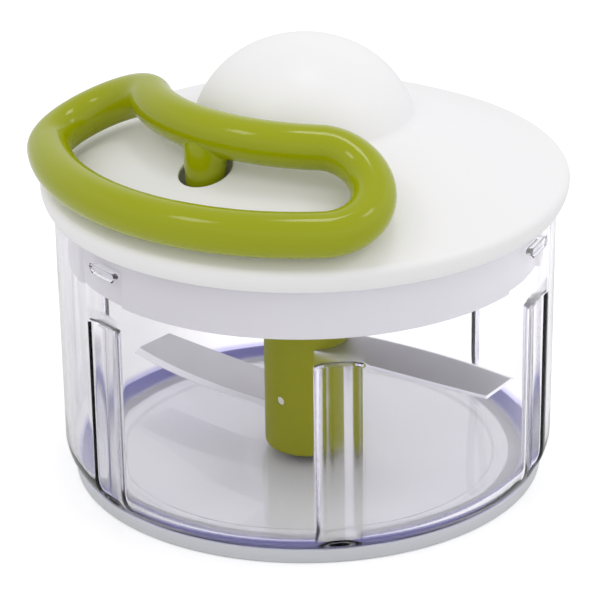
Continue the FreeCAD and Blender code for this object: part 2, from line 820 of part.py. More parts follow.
def make_washer():
    bottom = s.axle_bottom - s.washer_thickness
    return turned("axle_washer", [
        (s.screw_radius, bottom),
        (s.washer_radius, bottom),
        (s.washer_radius, s.axle_bottom),
        (s.screw_radius, s.axle_bottom)])


def make_axle_screw():
    """Screw that holds the washer to the axle and so carries the reel."""
    head_top = s.axle_bottom - s.washer_thickness
    head_bottom = head_top - s.axle_screw_head_height
    tip = s.axle_bottom + s.axle_tap - s.bore_spare
    screw = turned("axle_screw", [
        (0, head_bottom),
        (s.screw_head_radius - s.edge_break, head_bottom),
        (s.screw_head_radius, head_bottom + s.edge_break),
        (s.screw_head_radius, head_top),
        (s.screw_radius, head_top),
        (s.screw_radius, tip),
        (0, tip)])
    slot = new_sketch(screw, "axle_screw_slot_section", "XY_Plane", height=head_bottom)
    arm = s.slot_reach * s.screw_head_radius
    half = s.slot_half_width * s.screw_head_radius
    outline(slot, [(-arm, -half), (arm, -half), (arm, half), (-arm, half)])
    cut(screw, "Pocket", "axle_screw_slot", slot, Length=s.slot_depth * s.axle_screw_head_height,
        Reversed=True)
    return screw


def make_drum():
    """Cord drum and spring cup in one moulding: two flanges, a core and the cup on top."""
    bore = s.axle_radius + s.running_gap
    flange_top = s.drum_bottom + s.drum_flange
    upper_top = s.drum_core_top + s.drum_flange
    drum = turned("cord_drum", [
        (bore, s.counterbore_top),
        (s.counterbore_radius, s.counterbore_top),
        (s.counterbore_radius, s.drum_bottom),
        (s.drum_flange_radius, s.drum_bottom),
        (s.drum_flange_radius, flange_top - s.edge_break),
        (s.drum_core_radius, flange_top),
        (s.drum_core_radius, s.drum_core_top),
        (s.drum_flange_radius, s.drum_core_top + s.edge_break),
        (s.drum_flange_radius, upper_top),
        (s.cup_radius, upper_top),
        (s.cup_radius, s.cup_top),
        (s.cup_radius - s.cup_wall, s.cup_top),
        (s.cup_radius - s.cup_wall, s.cup_floor),
        (bore, s.cup_floor)])
    hole = new_sketch(drum, "coupler_screw_bore_section", "XY_Plane", height=s.drum_bottom)
    disc(hole, s.small_screw_radius, s.small_screw_distance, 0)
    depth = s.coupler_bottom + s.small_screw_head_height + s.small_screw_length - s.drum_bottom
    drilled = cut(drum, "Pocket", "coupler_screw_bore", hole, Length=depth + s.small_bore_spare,
                  Reversed=True)
    repeat(drum, "three_coupler_screw_bores", [drilled], 3)
    return drum


def make_spring_cover():
    """Thin ring that closes the spring cup and turns with it."""
    inner = s.arbor_radius + s.cover_gap
    return turned("spring_cover", [
        (inner, s.cup_top),
        (s.cup_radius, s.cup_top),
        (s.cup_radius, s.cup_top + s.cover_thickness),
        (inner, s.cup_top + s.cover_thickness)])


def make_arbor():
    """Fixed sleeve on the axle that holds the inner end of the spring."""
    return turned("spring_arbor", [
        (s.axle_radius, s.cup_floor + s.arbor_gap),
        (s.arbor_radius, s.cup_floor + s.arbor_gap),
        (s.arbor_radius, s.axle_boss_bottom),
        (s.axle_radius, s.axle_boss_bottom)])


def make_recoil_spring():
    """Flat spiral band between the arbor and the cup.

    Each half turn is a semicircle; their centres change sides, so the radius grows by half the
    pitch at every half turn and the band never has a corner.
    """
    room = 0.5 * s.spring_thickness.value + s.spring_gap.value
    inner = s.arbor_radius.value + room
    outer = s.cup_radius.value - s.cup_wall.value - room
    halves = int(2 * s.spring_turns.value)
    step = (outer - inner) / halves
    bottom = s.cup_floor.value + s.spring_lift.value

    def side(shift):
        arcs = []
        for number in range(halves):
            middle = 0.5 * step * (1 if number % 2 else -1)
            radius = inner + step * (number + 0.5) + shift
            flip = 1 if number % 2 else -1
            points = [Vector(middle - flip * radius, 0, bottom),
                      Vector(middle, -flip * radius, bottom),
                      Vector(middle + flip * radius, 0, bottom)]
            arcs.append(Part.Arc(*points).toShape())
        return arcs

    half = 0.5 * s.spring_thickness.value
    inside = side(-half)
    outside = side(half)
    caps = [Part.makeLine(inside[0].Curve.value(inside[0].FirstParameter),
                          outside[0].Curve.value(outside[0].FirstParameter)),
            Part.makeLine(inside[-1].Curve.value(inside[-1].LastParameter),
                          outside[-1].Curve.value(outside[-1].LastParameter))]
    band = Part.Face(Part.Wire(Part.__sortEdges__(inside + outside + caps)))
    spring = doc.addObject("Part::Feature", "recoil_spring")
    spring.Label = "recoil_spring"
    spring.Shape = band.extrude(Vector(0, 0, s.spring_height.value))
    return spring


def make_coupler():
    """Hexagon drive: a flange screwed under the drum and a stub that drops into the hub."""
    coupler = new_body("drive_coupler")
    stub = new_sketch(coupler, "stub_section", "XY_Plane", height=s.drive_bottom)
    hexagon(stub, s.drive_flats)
    feature(coupler, "Pad", "stub", stub, Length=s.drum_bottom - s.drive_bottom)
    flange = new_sketch(coupler, "flange_section", "XY_Plane", height=s.coupler_bottom)
    disc(flange, s.coupler_radius)
    feature(coupler, "Pad", "flange", flange, Length=s.drum_bottom - s.coupler_bottom)
    dressed(coupler, "Chamfer", "stub_lead", lambda point: near(point.z, s.drive_bottom),
            Size=s.stub_lead)
    head = new_sketch(coupler, "head_recess_section", "XY_Plane", height=s.coupler_bottom)
    disc(head, s.small_screw_head, s.small_screw_distance, 0)
    recess = cut(coupler, "Pocket", "head_recess", head, Length=s.small_screw_head_height,
                 Reversed=True)
    hole = new_sketch(coupler, "small_hole_section", "XY_Plane", height=s.coupler_bottom)
    disc(hole, s.small_screw_radius, s.small_screw_distance, 0)
    drilled = cut(coupler, "Pocket", "small_hole", hole, Length=s.drum_bottom - s.coupler_bottom,
                  Reversed=True)
    repeat(coupler, "three_small_holes", [recess, drilled], 3)
    return coupler


# ---------------------------------------------------------------- cord and handle

def make_winding():
    """Three turns of cord side by side on the drum core, drawn as one plain ring."""
    inner = s.drum_core_radius
    outer = inner + s.cord_diameter
    bottom = s.drum_bottom + s.drum_flange
    top = bottom + 3 * s.cord_diameter
    return turned("cord_winding", [
        (inner, bottom),
        (outer, bottom),
        (outer, top),
        (inner, top)])


def tube(edges, radius):
    """Solid tube along straight runs and arcs, each made exactly and joined end to end."""
    pieces = []
    for edge in edges:
        start = edge.valueAt(edge.FirstParameter)
        heading = edge.tangentAt(edge.FirstParameter)
        face = Part.Face(Part.Wire(Part.makeCircle(radius, start, heading)))
        if edge.Curve.TypeId == "Part::GeomLine":
            pieces.append(face.extrude(edge.valueAt(edge.LastParameter) - start))
            continue
        turn = math.degrees(edge.LastParameter - edge.FirstParameter)
        pieces.append(face.revolve(edge.Curve.Center, edge.Curve.Axis, turn))
    return pieces[0].multiFuse(pieces[1:]).removeSplitter() if len(pieces) > 1 else pieces[0]


def dock_point(height):
    turn = math.radians(s.dock_azimuth.value)
    distance = s.dock_distance.value
    return Vector(distance * math.cos(turn), distance * math.sin(turn), height)


def make_cord_run():
    """Cord from the drum to the eyelet: a level straight run, then a bend up into the eyelet."""
    level = s.drum_bottom.value + s.drum_flange.value + 1.5 * s.cord_diameter.value
    wound = s.drum_core_radius.value + 0.5 * s.cord_diameter.value
    below = dock_point(level)
    reach = math.hypot(below.x, below.y)
    turn = math.atan2(below.y, below.x) - math.acos(wound / reach)
    leaves = Vector(wound * math.cos(turn), wound * math.sin(turn), level)
    heading = (below - leaves).normalize()
    clear = math.sqrt((wound + s.cord_diameter.value + 0.5) ** 2 - wound ** 2)
    start = leaves + heading * clear
    bend = s.cord_bend.value
    before = below - heading * bend
    after = below + Vector(0, 0, bend)
    middle = before + Vector(0, 0, bend)
    corner = middle + (below - middle).normalize() * bend
    edges = [Part.makeLine(start, before),
             Part.Arc(before, corner, after).toShape(),
             Part.makeLine(after, dock_point(s.cord_end.value))]
    run = doc.addObject("Part::Feature", "cord_run")
    run.Label = "cord_run"
    run.Shape = tube(edges, 0.5 * s.cord_diameter.value)
    return run


def make_cord_lead():
    """The cord's end: straight up through the eyelet into the handle stem."""
    lead = make_cylinder("cord_lead", 0.5 * s.cord_diameter, s.cord_end, s.plug_top,
                         s.dock_distance, s.dock_azimuth)
    lead.Label = "cord_lead"
    return lead


def make_knot():
    """Knot that stops the cord's end above the plug."""
    knot = doc.addObject("Part::Sphere", "cord_knot")
    knot.Label = "cord_knot"
    knot.setExpression("Radius", s.knot_radius.text)
    knot.setExpression("Placement.Base.x", (s.dock_distance * cosine(s.dock_azimuth)).text)
    knot.setExpression("Placement.Base.y", (s.dock_distance * sine(s.dock_azimuth)).text)
    knot.setExpression("Placement.Base.z", (s.plug_top + s.knot_radius).text)
    return knot


def make_plug():
    """Bored plug that closes the stem from below and holds the knot in."""
    bore = 0.5 * s.cord_diameter + s.cord_gap
    plug = turned("stem_plug", [
        (bore, s.plug_bottom),
        (s.stem_bore, s.plug_bottom),
        (s.stem_bore, s.plug_top),
        (bore, s.plug_top)])
    plug.setExpression("Placement.Base.x", (s.dock_distance * cosine(s.dock_azimuth)).text)
    plug.setExpression("Placement.Base.y", (s.dock_distance * sine(s.dock_azimuth)).text)
    return plug


def tangent_arcs(start, start_heading, stop, stop_heading):
    """Two arcs in space that leave one point and reach another in the given directions."""
    gap = stop - start
    both = start_heading + stop_heading
    square = 2 * (start_heading.dot(stop_heading) - 1)
    linear = -2 * gap.dot(both)
    constant = gap.dot(gap)
    length = (-linear - math.sqrt(linear ** 2 - 4 * square * constant)) / (2 * square)
    if length <= 0:
        length = (-linear + math.sqrt(linear ** 2 - 4 * square * constant)) / (2 * square)
    near_start = start + start_heading * length
    near_stop = stop - stop_heading * length
    meet = (near_start + near_stop) * 0.5
    return [arc_from(start, start_heading, meet), arc_from(meet, (meet - near_start), stop)]


def arc_from(start, heading, stop):
    """The arc that leaves start along heading and ends at stop."""
    heading = Vector(heading).normalize()
    chord = stop - start
    across = chord - heading * chord.dot(heading)
    radius = chord.dot(chord) / (2 * across.Length)
    middle = start + across.normalize() * radius
    spoke = ((start - middle) + (stop - middle)).normalize() * radius
    if spoke.dot(heading) < 0:
        spoke = -spoke
    return Part.Arc(start, middle + spoke, stop).toShape()


def handle_point(side, reach):
    """A point of the loop's centre line: it lies on a cone that falls away from the dome."""
    outward = math.radians(s.dock_azimuth.value)
    x = reach * math.cos(outward) - side * math.sin(outward)
    y = reach * math.sin(outward) + side * math.cos(outward)
    return Vector(x, y, s.handle_level.value - s.handle_slope.value * math.hypot(side, reach))


def lobe_heading(side, angle):
    """Direction of travel on a lobe at an angle from its sideways axis, kept on the cone."""
    lobe = s.handle_lobe.value
    step = 0.01
    points = [handle_point(side * (s.handle_lobe_side.value + lobe * math.cos(turn)),
                           s.handle_lobe_reach.value + lobe * math.sin(turn))
              for turn in (angle + step, angle - step)]
    return (points[1] - points[0]).normalize()


def handle_path():
    """Bean-shaped closed loop of tangent arcs: outer arc, two lobes and the hollow inner arc."""
    outer = s.handle_outer.value
    lobe = s.handle_lobe.value
    lobe_x = s.handle_lobe_side.value
    lobe_y = s.handle_lobe_reach.value
    inner = s.handle_inner.value
    # The inner arc is tangent to both lobes: its centre lies on the line of symmetry.
    centre_y = ((inner + lobe) ** 2 - lobe_x ** 2 - lobe_y ** 2) / (2 * (inner + lobe - lobe_y))
    inner_round = inner - centre_y
    reach_angle = math.atan2(lobe_y - centre_y, lobe_x)
    outer_angle = math.atan2(lobe_y, lobe_x)
    outer_mid = handle_point(0, outer)
    inner_mid = handle_point(0, inner)
    arcs = {}
    for side in (1, -1):
        top = handle_point(side * outer * math.cos(outer_angle), outer * math.sin(outer_angle))
        root_point = handle_point(side * inner_round * math.cos(reach_angle),
                                  centre_y + inner_round * math.sin(reach_angle))
        arcs[side] = (top, root_point)
    outer_arc = Part.Arc(arcs[-1][0], outer_mid, arcs[1][0]).toShape()
    inner_arc = Part.Arc(arcs[1][1], inner_mid, arcs[-1][1]).toShape()
    edges = [outer_arc, inner_arc]
    for side in (1, -1):
        end = outer_arc.LastParameter if side == 1 else outer_arc.FirstParameter
        leave = outer_arc.tangentAt(end) * side
        end = inner_arc.FirstParameter if side == 1 else inner_arc.LastParameter
        arrive = inner_arc.tangentAt(end) * side
        span = outer_angle - (reach_angle - math.pi)
        nodes = [(arcs[side][0], leave)]
        for share in (s.lobe_first_joint, s.lobe_second_joint):
            angle = outer_angle - span * share.value
            spot = handle_point(side * (lobe_x + lobe * math.cos(angle)),
                                lobe_y + lobe * math.sin(angle))
            nodes.append((spot, lobe_heading(side, angle)))
        nodes.append((arcs[side][1], arrive))
        for here, there in zip(nodes, nodes[1:]):
            edges += tangent_arcs(here[0], here[1], there[0], there[1])
    return edges


def make_handle():
    """Green loop of round section on a slightly raked stem that is bored for the cord's knot."""
    loop = tube(handle_path(), s.handle_tube.value)
    bar = handle_point(0, s.handle_inner.value)
    foot = dock_point(s.stem_bottom.value)
    rings = [Part.Wire([Part.makeCircle(radius.value, centre, Vector(0, 0, 1))])
             for radius, centre in ((s.stem_tip_radius, foot), (s.stem_radius, bar))]
    solid = loop.fuse(Part.makeLoft(rings, True, True)).removeSplitter()

    def beside_stem(point):
        away = math.hypot(point.x - bar.x, point.y - bar.y)
        return point.z > s.stem_bore_top.value and away < 1.1 * s.stem_radius.value

    meeting = [solid.getElement(name) for name in edge_names(solid, beside_stem)]
    solid = solid.makeFillet(s.stem_blend.value, meeting)
    bore = Part.makeCylinder(s.stem_bore.value, s.stem_bore_top.value - s.stem_bottom.value, foot)
    handle = doc.addObject("Part::Feature", "pull_handle")
    handle.Label = "pull_handle"
    handle.Shape = solid.cut(bore)
    return handle


# ---------------------------------------------------------------- the assembly

subparts = [
    make_bowl(),
    make_base_pad(),
    make_pivot_pin(),
    make_hub(),
    make_bush(),
    make_cross_pin(),
    make_blade("lower_blade", s.lower_blade_height, s.lower_blade_azimuth, s.bush_radius + 0.2),
    make_blade("upper_blade", s.upper_blade_height, s.upper_blade_azimuth, s.bush_radius - 2),
    make_lid_shell(),
    make_inner_cover(),
    make_screws("lid_screws", s.post_distance, s.post_azimuth, s.plate_bottom - s.screw_head_height,
                s.screw_head_height, s.screw_head_radius, s.screw_radius, s.screw_length),
    make_eyelet(),
    make_axle(),
    make_washer(),
    make_axle_screw(),
    make_drum(),
    make_spring_cover(),
    make_arbor(),
    make_recoil_spring(),
    make_coupler(),
    make_screws("coupler_screws", s.small_screw_distance, as_size(0), s.coupler_bottom,
                s.small_screw_head_height, s.small_screw_head, s.small_screw_radius,
                s.small_screw_length),
    make_winding(),
    make_cord_run(),
    make_cord_lead(),
    make_knot(),
    make_plug(),
    make_handle(),
]

doc.recompute()
for item in doc.Objects:
    if {"Invalid", "Error"} & set(item.State):
        raise ValueError("%s did not recompute: %s" % (item.Label, item.State))
for subpart in subparts:
    if subpart.Shape.isNull() or not subpart.Shape.isValid():
        raise ValueError("%s has no valid shape" % subpart.Label)

os.makedirs("parts", exist_ok=True)
for subpart in subparts:
    subpart.Shape.exportStep(os.path.join("parts", subpart.Label + ".step"))
    box = subpart.Shape.BoundBox
    print("%-18s %d solid(s) %9.1f mm3  x %.1f..%.1f  y %.1f..%.1f  z %.1f..%.1f" % (
        subpart.Label, len(subpart.Shape.Solids), subpart.Shape.Volume,
        box.XMin, box.XMax, box.YMin, box.YMax, box.ZMin, box.ZMax))
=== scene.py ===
# %% [markdown]
# # A pull-cord food chopper, dressed for its picture
#
# The chopper is a clear cup with a white domed lid.  A green loop of a handle lies round the
# dome, with its stem parked in a hole of the lid.  Pulling it unwinds a cord from a spring-loaded
# reel, and the reel spins the green post that carries two steel blades.
#
# The solid model is loaded first and stays where it is.  Every smooth or see-through piece is
# then made again here as a fine surface, because glass and gloss show every flat of a coarse mesh.

# %% Load the frame
import math

import bmesh
import bpy
import numpy as np
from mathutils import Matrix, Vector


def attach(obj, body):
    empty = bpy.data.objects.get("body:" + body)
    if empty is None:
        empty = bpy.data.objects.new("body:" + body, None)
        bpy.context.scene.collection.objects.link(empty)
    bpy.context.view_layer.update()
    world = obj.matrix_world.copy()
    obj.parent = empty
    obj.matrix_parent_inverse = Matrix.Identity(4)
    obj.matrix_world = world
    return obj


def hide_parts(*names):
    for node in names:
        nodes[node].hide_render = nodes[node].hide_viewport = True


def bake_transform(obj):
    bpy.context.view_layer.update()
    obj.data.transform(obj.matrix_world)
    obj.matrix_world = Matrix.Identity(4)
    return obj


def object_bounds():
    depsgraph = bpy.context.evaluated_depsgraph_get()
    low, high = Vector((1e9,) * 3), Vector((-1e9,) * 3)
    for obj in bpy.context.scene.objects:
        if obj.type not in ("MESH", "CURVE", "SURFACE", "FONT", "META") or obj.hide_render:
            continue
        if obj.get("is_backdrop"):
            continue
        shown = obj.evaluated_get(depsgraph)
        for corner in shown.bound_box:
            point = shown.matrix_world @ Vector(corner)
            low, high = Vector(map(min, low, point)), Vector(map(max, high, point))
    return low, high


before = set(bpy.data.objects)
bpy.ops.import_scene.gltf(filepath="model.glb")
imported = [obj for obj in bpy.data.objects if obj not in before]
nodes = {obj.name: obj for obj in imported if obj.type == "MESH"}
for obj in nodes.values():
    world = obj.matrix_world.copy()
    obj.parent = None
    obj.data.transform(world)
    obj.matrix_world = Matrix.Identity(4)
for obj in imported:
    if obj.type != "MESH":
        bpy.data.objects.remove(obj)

cad_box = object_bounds()

# %% [markdown]
# ## Turning arrays of points into pieces
#
# A piece starts as a grid of points in millimetres.  One way to make it a mesh is to add faces one
# by one, but a whole grid has a simple rule for its corners, so numpy can number all quads at once.
# Rows that shrink to a point on an axis leave doubled points, so they are merged afterwards, and
# the faces are turned outwards.

# %% Grid to mesh
MM = 0.001
WELD = 2e-6
CREASE_ANGLE = 32


def quads(rows, columns):
    """Corner numbers of every quad of a grid that closes both ways.

    The corners are (i, j), (i, j+1), (i+1, j+1) and (i+1, j).
    """
    row, column = np.meshgrid(np.arange(rows), np.arange(columns), indexing="ij")
    below = (row + 1) % rows
    beside = (column + 1) % columns
    corners = [row * columns + column, row * columns + beside,
               below * columns + beside, below * columns + column]
    return np.stack(corners, axis=-1).reshape(-1, 4)


def clean_mesh(mesh, crease_angle):
    """Merge doubled points, drop loose edges, face outwards, and shade smooth below an angle."""
    work = bmesh.new()
    work.from_mesh(mesh)
    bmesh.ops.remove_doubles(work, verts=work.verts, dist=WELD)
    bmesh.ops.delete(work, geom=[e for e in work.edges if not e.link_faces], context="EDGES")
    bmesh.ops.recalc_face_normals(work, faces=work.faces)
    work.to_mesh(mesh)
    work.free()
    mesh.shade_smooth()
    mesh.set_sharp_from_angle(angle=math.radians(crease_angle))


def piece_from_grids(name, grids, crease_angle=CREASE_ANGLE):
    """One object from closed grids of points, each rows by columns by x, y, z in millimetres."""
    points, faces, first = [], [], 0
    for grid in grids:
        rows, columns = grid.shape[:2]
        points.append(grid.reshape(-1, 3))
        faces.append(quads(rows, columns) + first)
        first += rows * columns
    mesh = bpy.data.meshes.new(name)
    mesh.from_pydata(np.concatenate(points) * MM, [], np.concatenate(faces))
    clean_mesh(mesh, crease_angle)
    piece = bpy.data.objects.new(name, mesh)
    bpy.context.scene.collection.objects.link(piece)
    print("%-16s %6d faces" % (name, len(mesh.polygons)))
    return piece


def seat(piece, body, node):
    """The piece moves with a body and stands for a node, whose own mesh is hidden."""
    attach(piece, body)
    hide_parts(node)
    return piece


def carve(piece, tool):
    """Take one closed mesh out of another for good, then clean the result."""
    modifier = piece.modifiers.new("carve", "BOOLEAN")
    modifier.operation = "DIFFERENCE"
    modifier.object = tool
    seen = bpy.context.evaluated_depsgraph_get()
    mesh = bpy.data.meshes.new_from_object(piece.evaluated_get(seen))
    piece.modifiers.clear()
    piece.data = mesh
    bpy.data.objects.remove(tool)
    clean_mesh(mesh, CREASE_ANGLE)


# %% [markdown]
# Most sections are straight runs, arcs of a known radius, and small rounded corners.  Three short
# functions give their points, and one more spins a section round the upright axis.

# %% Sections
def arc(start, end, radius, steps):
    """Points on a circle from start to end.  It bends left on the way, or right if radius < 0.

    The centre lies beside the middle of the chord, at sqrt(radius^2 - half chord^2).
    """
    start, end = np.array(start, float), np.array(end, float)
    chord = end - start
    half = np.hypot(*chord) / 2
    left = np.array([-chord[1], chord[0]]) / (2 * half)
    side = np.sign(radius)
    centre = (start + end) / 2 + left * side * math.sqrt(radius ** 2 - half ** 2)
    first = math.atan2(start[1] - centre[1], start[0] - centre[0])
    angle = first + side * 2 * math.asin(half / abs(radius)) * np.linspace(0, 1, steps + 1)
    return centre + abs(radius) * np.stack([np.cos(angle), np.sin(angle)], axis=1)


def run(start, end, steps):
    """Evenly spaced points on the straight line from start to end."""
    share = np.linspace(0, 1, steps + 1)[:, None]
    return (1 - share) * np.array(start, float) + share * np.array(end, float)


def rounded(corners, steps=4):
    """A closed section whose corners (x, z, radius) are arcs: a fan of points swept evenly.

    Each arc touches both sides at radius / tan(half of the corner's angle).
    """
    out = []
    for number, (x, z, radius) in enumerate(corners):
        here = np.array([x, z], float)
        if not radius:
            out.append(here[None])
            continue
        back = np.array(corners[number - 1][:2]) - here
        ahead = np.array(corners[(number + 1) % len(corners)][:2]) - here
        back, ahead = back / np.hypot(*back), ahead / np.hypot(*ahead)
        half = math.acos(np.clip(back @ ahead, -1, 1)) / 2
        reach = radius / math.tan(half)
        centre = here + (back + ahead) / np.hypot(*(back + ahead)) * radius / math.sin(half)
        one, other = here + back * reach - centre, here + ahead * reach - centre
        sweep = math.pi - 2 * half
        share = np.linspace(0, 1, steps + 1)[:, None]
        fan = (np.sin((1 - share) * sweep) * one + np.sin(share * sweep) * other) / math.sin(sweep)
        out.append(centre + fan)
    return np.concatenate(out)


def around(count):
    """Evenly spaced angles of a full turn, in radians."""
    return np.linspace(0, 2 * math.pi, count, endpoint=False)


def spin(section, angles, centre=(0.0, 0.0)):
    """Carry a section (radius, height) round an upright axis: x = r cos a, y = r sin a."""
    section = np.asarray(section, float)
    radius, height = section[:, 0:1], section[:, 1:2]
    return np.stack([centre[0] + radius * np.cos(angles), centre[1] + radius * np.sin(angles),
                     height + 0 * angles], axis=-1)


def smooth(value, low, high):
    """A soft step from 0 below low to 1 above high: 3t^2 - 2t^3."""
    share = np.clip((value - low) / (high - low), 0, 1)
    return share * share * (3 - 2 * share)


# %% [markdown]
# ## The clear bowl
#
# The real bowl is one clear moulding.  Six channels are pressed in from outside, and each leaves a
# rib inside that stirs the food.  Modelling it from cut boxes would leave flat facets that bend
# light wrongly.  Here the section is one closed line, from the underside out, up, over the rim and
# back down inside.  A second formula pushes that line inwards wherever a channel or rib runs.  The
# channel outside and the rib inside have widths and curves of their own, so the wall is thicker
# along their flanks and bends light there as a prism does.

# %% Sizes of the bowl
RIM_RADIUS, RIM_TOP = 73.1, 88.0
FOOT_RADIUS, FOOT_ROUND, UNDERSIDE = 72.4, 10.0, 2.0
WALL, FLOOR, INSIDE_ROUND, RIM_ROUND = 2.0, 4.5, 8.0, 0.7
RING_OUTER, RING_INNER, RING_FLANK, RING_LEVEL = 60.4, 56.6, 0.6, 4.42
BOSS_RADIUS, BOSS_TOP, PIN_HOLE, PIN_BOTTOM = 9.0, 6.0, 3.06, 3.2
CHANNEL = {"radius": 70.1, "top": 62.8, "flat": 1.6, "mouth": 6.75, "lip": 1.0, "curve": 1.4}
RIB = {"radius": 68.0, "top": 63.2, "flat": 3.8, "mouth": 6.9, "lip": 1.0, "curve": 2.0}
CHANNEL_TURN = -83.0
SIXTH, THIRD = math.pi / 3, 2 * math.pi / 3
LUG_TURN, LUG_RADIUS, LUG_MIDDLE = -143.0, 69.05, 79.1
LUG_HALF, LUG_LENGTH = 1.3, 11.5
print("channels every 60 degrees from %.0f, lugs every 120 from %.0f" % (CHANNEL_TURN, LUG_TURN))


# %% Angles and rows of the bowl
def bowl_angles():
    """Angles of the columns: closest at the mouth of each channel, wide apart between them.

    The near ones are distances from the channel's middle line, in millimetres.
    """
    near = np.concatenate([np.linspace(0, 1.4, 3), np.linspace(1.6, 4.1, 9),
                           np.linspace(4.3, 7.3, 16), np.linspace(7.9, 9.5, 3)])
    turn = np.concatenate([-near[:0:-1], near]) / RIM_RADIUS
    gap = np.linspace(turn[-1], SIXTH + turn[0], 15)[1:-1]
    sector = np.concatenate([turn, gap])
    return (math.radians(CHANNEL_TURN) + np.arange(6)[:, None] * SIXTH + sector).ravel()


def bowl_rows():
    """The bowl's closed section, with short steps where a ledge or a lug needs them."""
    foot, centre = FOOT_RADIUS - FOOT_ROUND, UNDERSIDE + FOOT_ROUND
    lean = (RIM_RADIUS - FOOT_RADIUS) / (RIM_TOP - centre)
    inner_foot = FLOOR + INSIDE_ROUND

    def outer(height):
        return np.stack([FOOT_RADIUS + (height - centre) * lean, height], axis=1)

    def inner(height):
        return outer(height) - [WALL, 0]

    ledge = np.linspace(CHANNEL["top"] - 1.3, CHANNEL["top"] + 0.3, 12)
    rib_ledge = np.linspace(RIB["top"] + 0.3, RIB["top"] - 1.3, 12)
    lug = np.linspace(LUG_MIDDLE + 1.9, LUG_MIDDLE - 1.9, 22)
    rim_foot = RIM_TOP - 3
    rim = rounded([(RIM_RADIUS, rim_foot, 0), (RIM_RADIUS, RIM_TOP, RIM_ROUND),
                   (RIM_RADIUS - WALL, RIM_TOP, RIM_ROUND), (RIM_RADIUS - WALL, rim_foot, 0)], 5)
    middle = FOOT_RADIUS - WALL - INSIDE_ROUND
    return np.concatenate([
        run((0, UNDERSIDE), (foot, UNDERSIDE), 4)[:-1],
        arc((foot, UNDERSIDE), (FOOT_RADIUS, centre), FOOT_ROUND, 18),
        outer(np.linspace(centre, ledge[0], 8)[1:-1]), outer(ledge),
        outer(np.linspace(ledge[-1], rim_foot, 4)[1:-1]), rim,
        inner(lug), inner(np.linspace(lug[-1], rib_ledge[0], 4)[1:-1]), inner(rib_ledge),
        inner(np.linspace(rib_ledge[-1], inner_foot, 8)[1:-1]),
        arc((middle + INSIDE_ROUND, inner_foot), (middle, FLOOR), -INSIDE_ROUND, 16),
        rounded([(middle - 1, FLOOR, 0), (RING_OUTER, FLOOR, RING_FLANK),
                 (RING_OUTER - RING_FLANK, RING_LEVEL, RING_FLANK),
                 (RING_INNER + RING_FLANK, RING_LEVEL, RING_FLANK),
                 (RING_INNER, FLOOR, RING_FLANK), (BOSS_RADIUS + 1, FLOOR, 0.5),
                 (BOSS_RADIUS, BOSS_TOP, 0.4), (PIN_HOLE, BOSS_TOP, 0),
                 (PIN_HOLE, PIN_BOTTOM, 0), (0, PIN_BOTTOM, 0)], 3)])


# %% Channels, ribs and lugs
def channel_share(across, height, form):
    """How far a channel is pressed in, from 0 on the wall to 1 on its floor.

    The distance u from the flat floor to the mouth runs from 0 to 1 sideways and at the top, both
    joined as a round corner, sqrt(a^2 + b^2).  The share is 1 - u^curve, softened where it ends.
    """
    sideways = np.maximum(np.abs(across) - form["flat"], 0) / (form["mouth"] - form["flat"])
    upwards = np.maximum(height - form["top"] + form["lip"], 0) / form["lip"]
    sunk = 1 - np.hypot(sideways, upwards) ** form["curve"]
    soft = 0.05
    return soft * np.logaddexp(0, sunk / soft)


def lug_share(across, height):
    """1 on a lug and 0 beside it: distance to a short line, less half of the lug's height."""
    line = LUG_LENGTH / 2 - LUG_HALF
    away = np.hypot(np.maximum(np.abs(across) - line, 0), height - LUG_MIDDLE) - LUG_HALF
    return smooth(-away, -0.15, 0.4)


def bowl_grid():
    """Section carried round the axis, less the press of the channels, ribs and lugs."""
    angles, section = bowl_angles(), bowl_rows()
    radius, height = section[:, 0:1], section[:, 1:2]
    inside = (np.arange(len(section)) > np.argmax(section[:, 1]))[:, None]
    off = (angles - math.radians(CHANNEL_TURN) + SIXTH / 2) % SIXTH - SIXTH / 2
    across = radius * np.sin(off)
    pressed = radius + 0 * off
    for form, side in ((CHANNEL, ~inside), (RIB, inside)):
        floor = form["radius"] / np.cos(off)
        depth = np.maximum(radius - floor, 0) * channel_share(across, height, form)
        pressed = pressed - np.where(side, depth, 0)
    lug_off = (angles - math.radians(LUG_TURN) + THIRD / 2) % THIRD - THIRD / 2
    lug = lug_share(radius * np.sin(lug_off), height) * (np.abs(lug_off) < 0.3)
    pressed = pressed - np.where(inside, (radius - LUG_RADIUS) * lug, 0)
    return np.stack([pressed * np.cos(angles), pressed * np.sin(angles), height + 0 * angles],
                    axis=-1)


bowl = seat(piece_from_grids("clear_bowl", [bowl_grid()], 38), "bowl", "bowl")

# %% [markdown]
# ## The soft base pad
#
# A milky soft ring hugs the rounded foot, so the bowl doesn't slide.  It is one closed section
# spun round the axis.  Its inner side follows the foot's own arc with a hair of room, which keeps
# the two from fighting over the same surface.

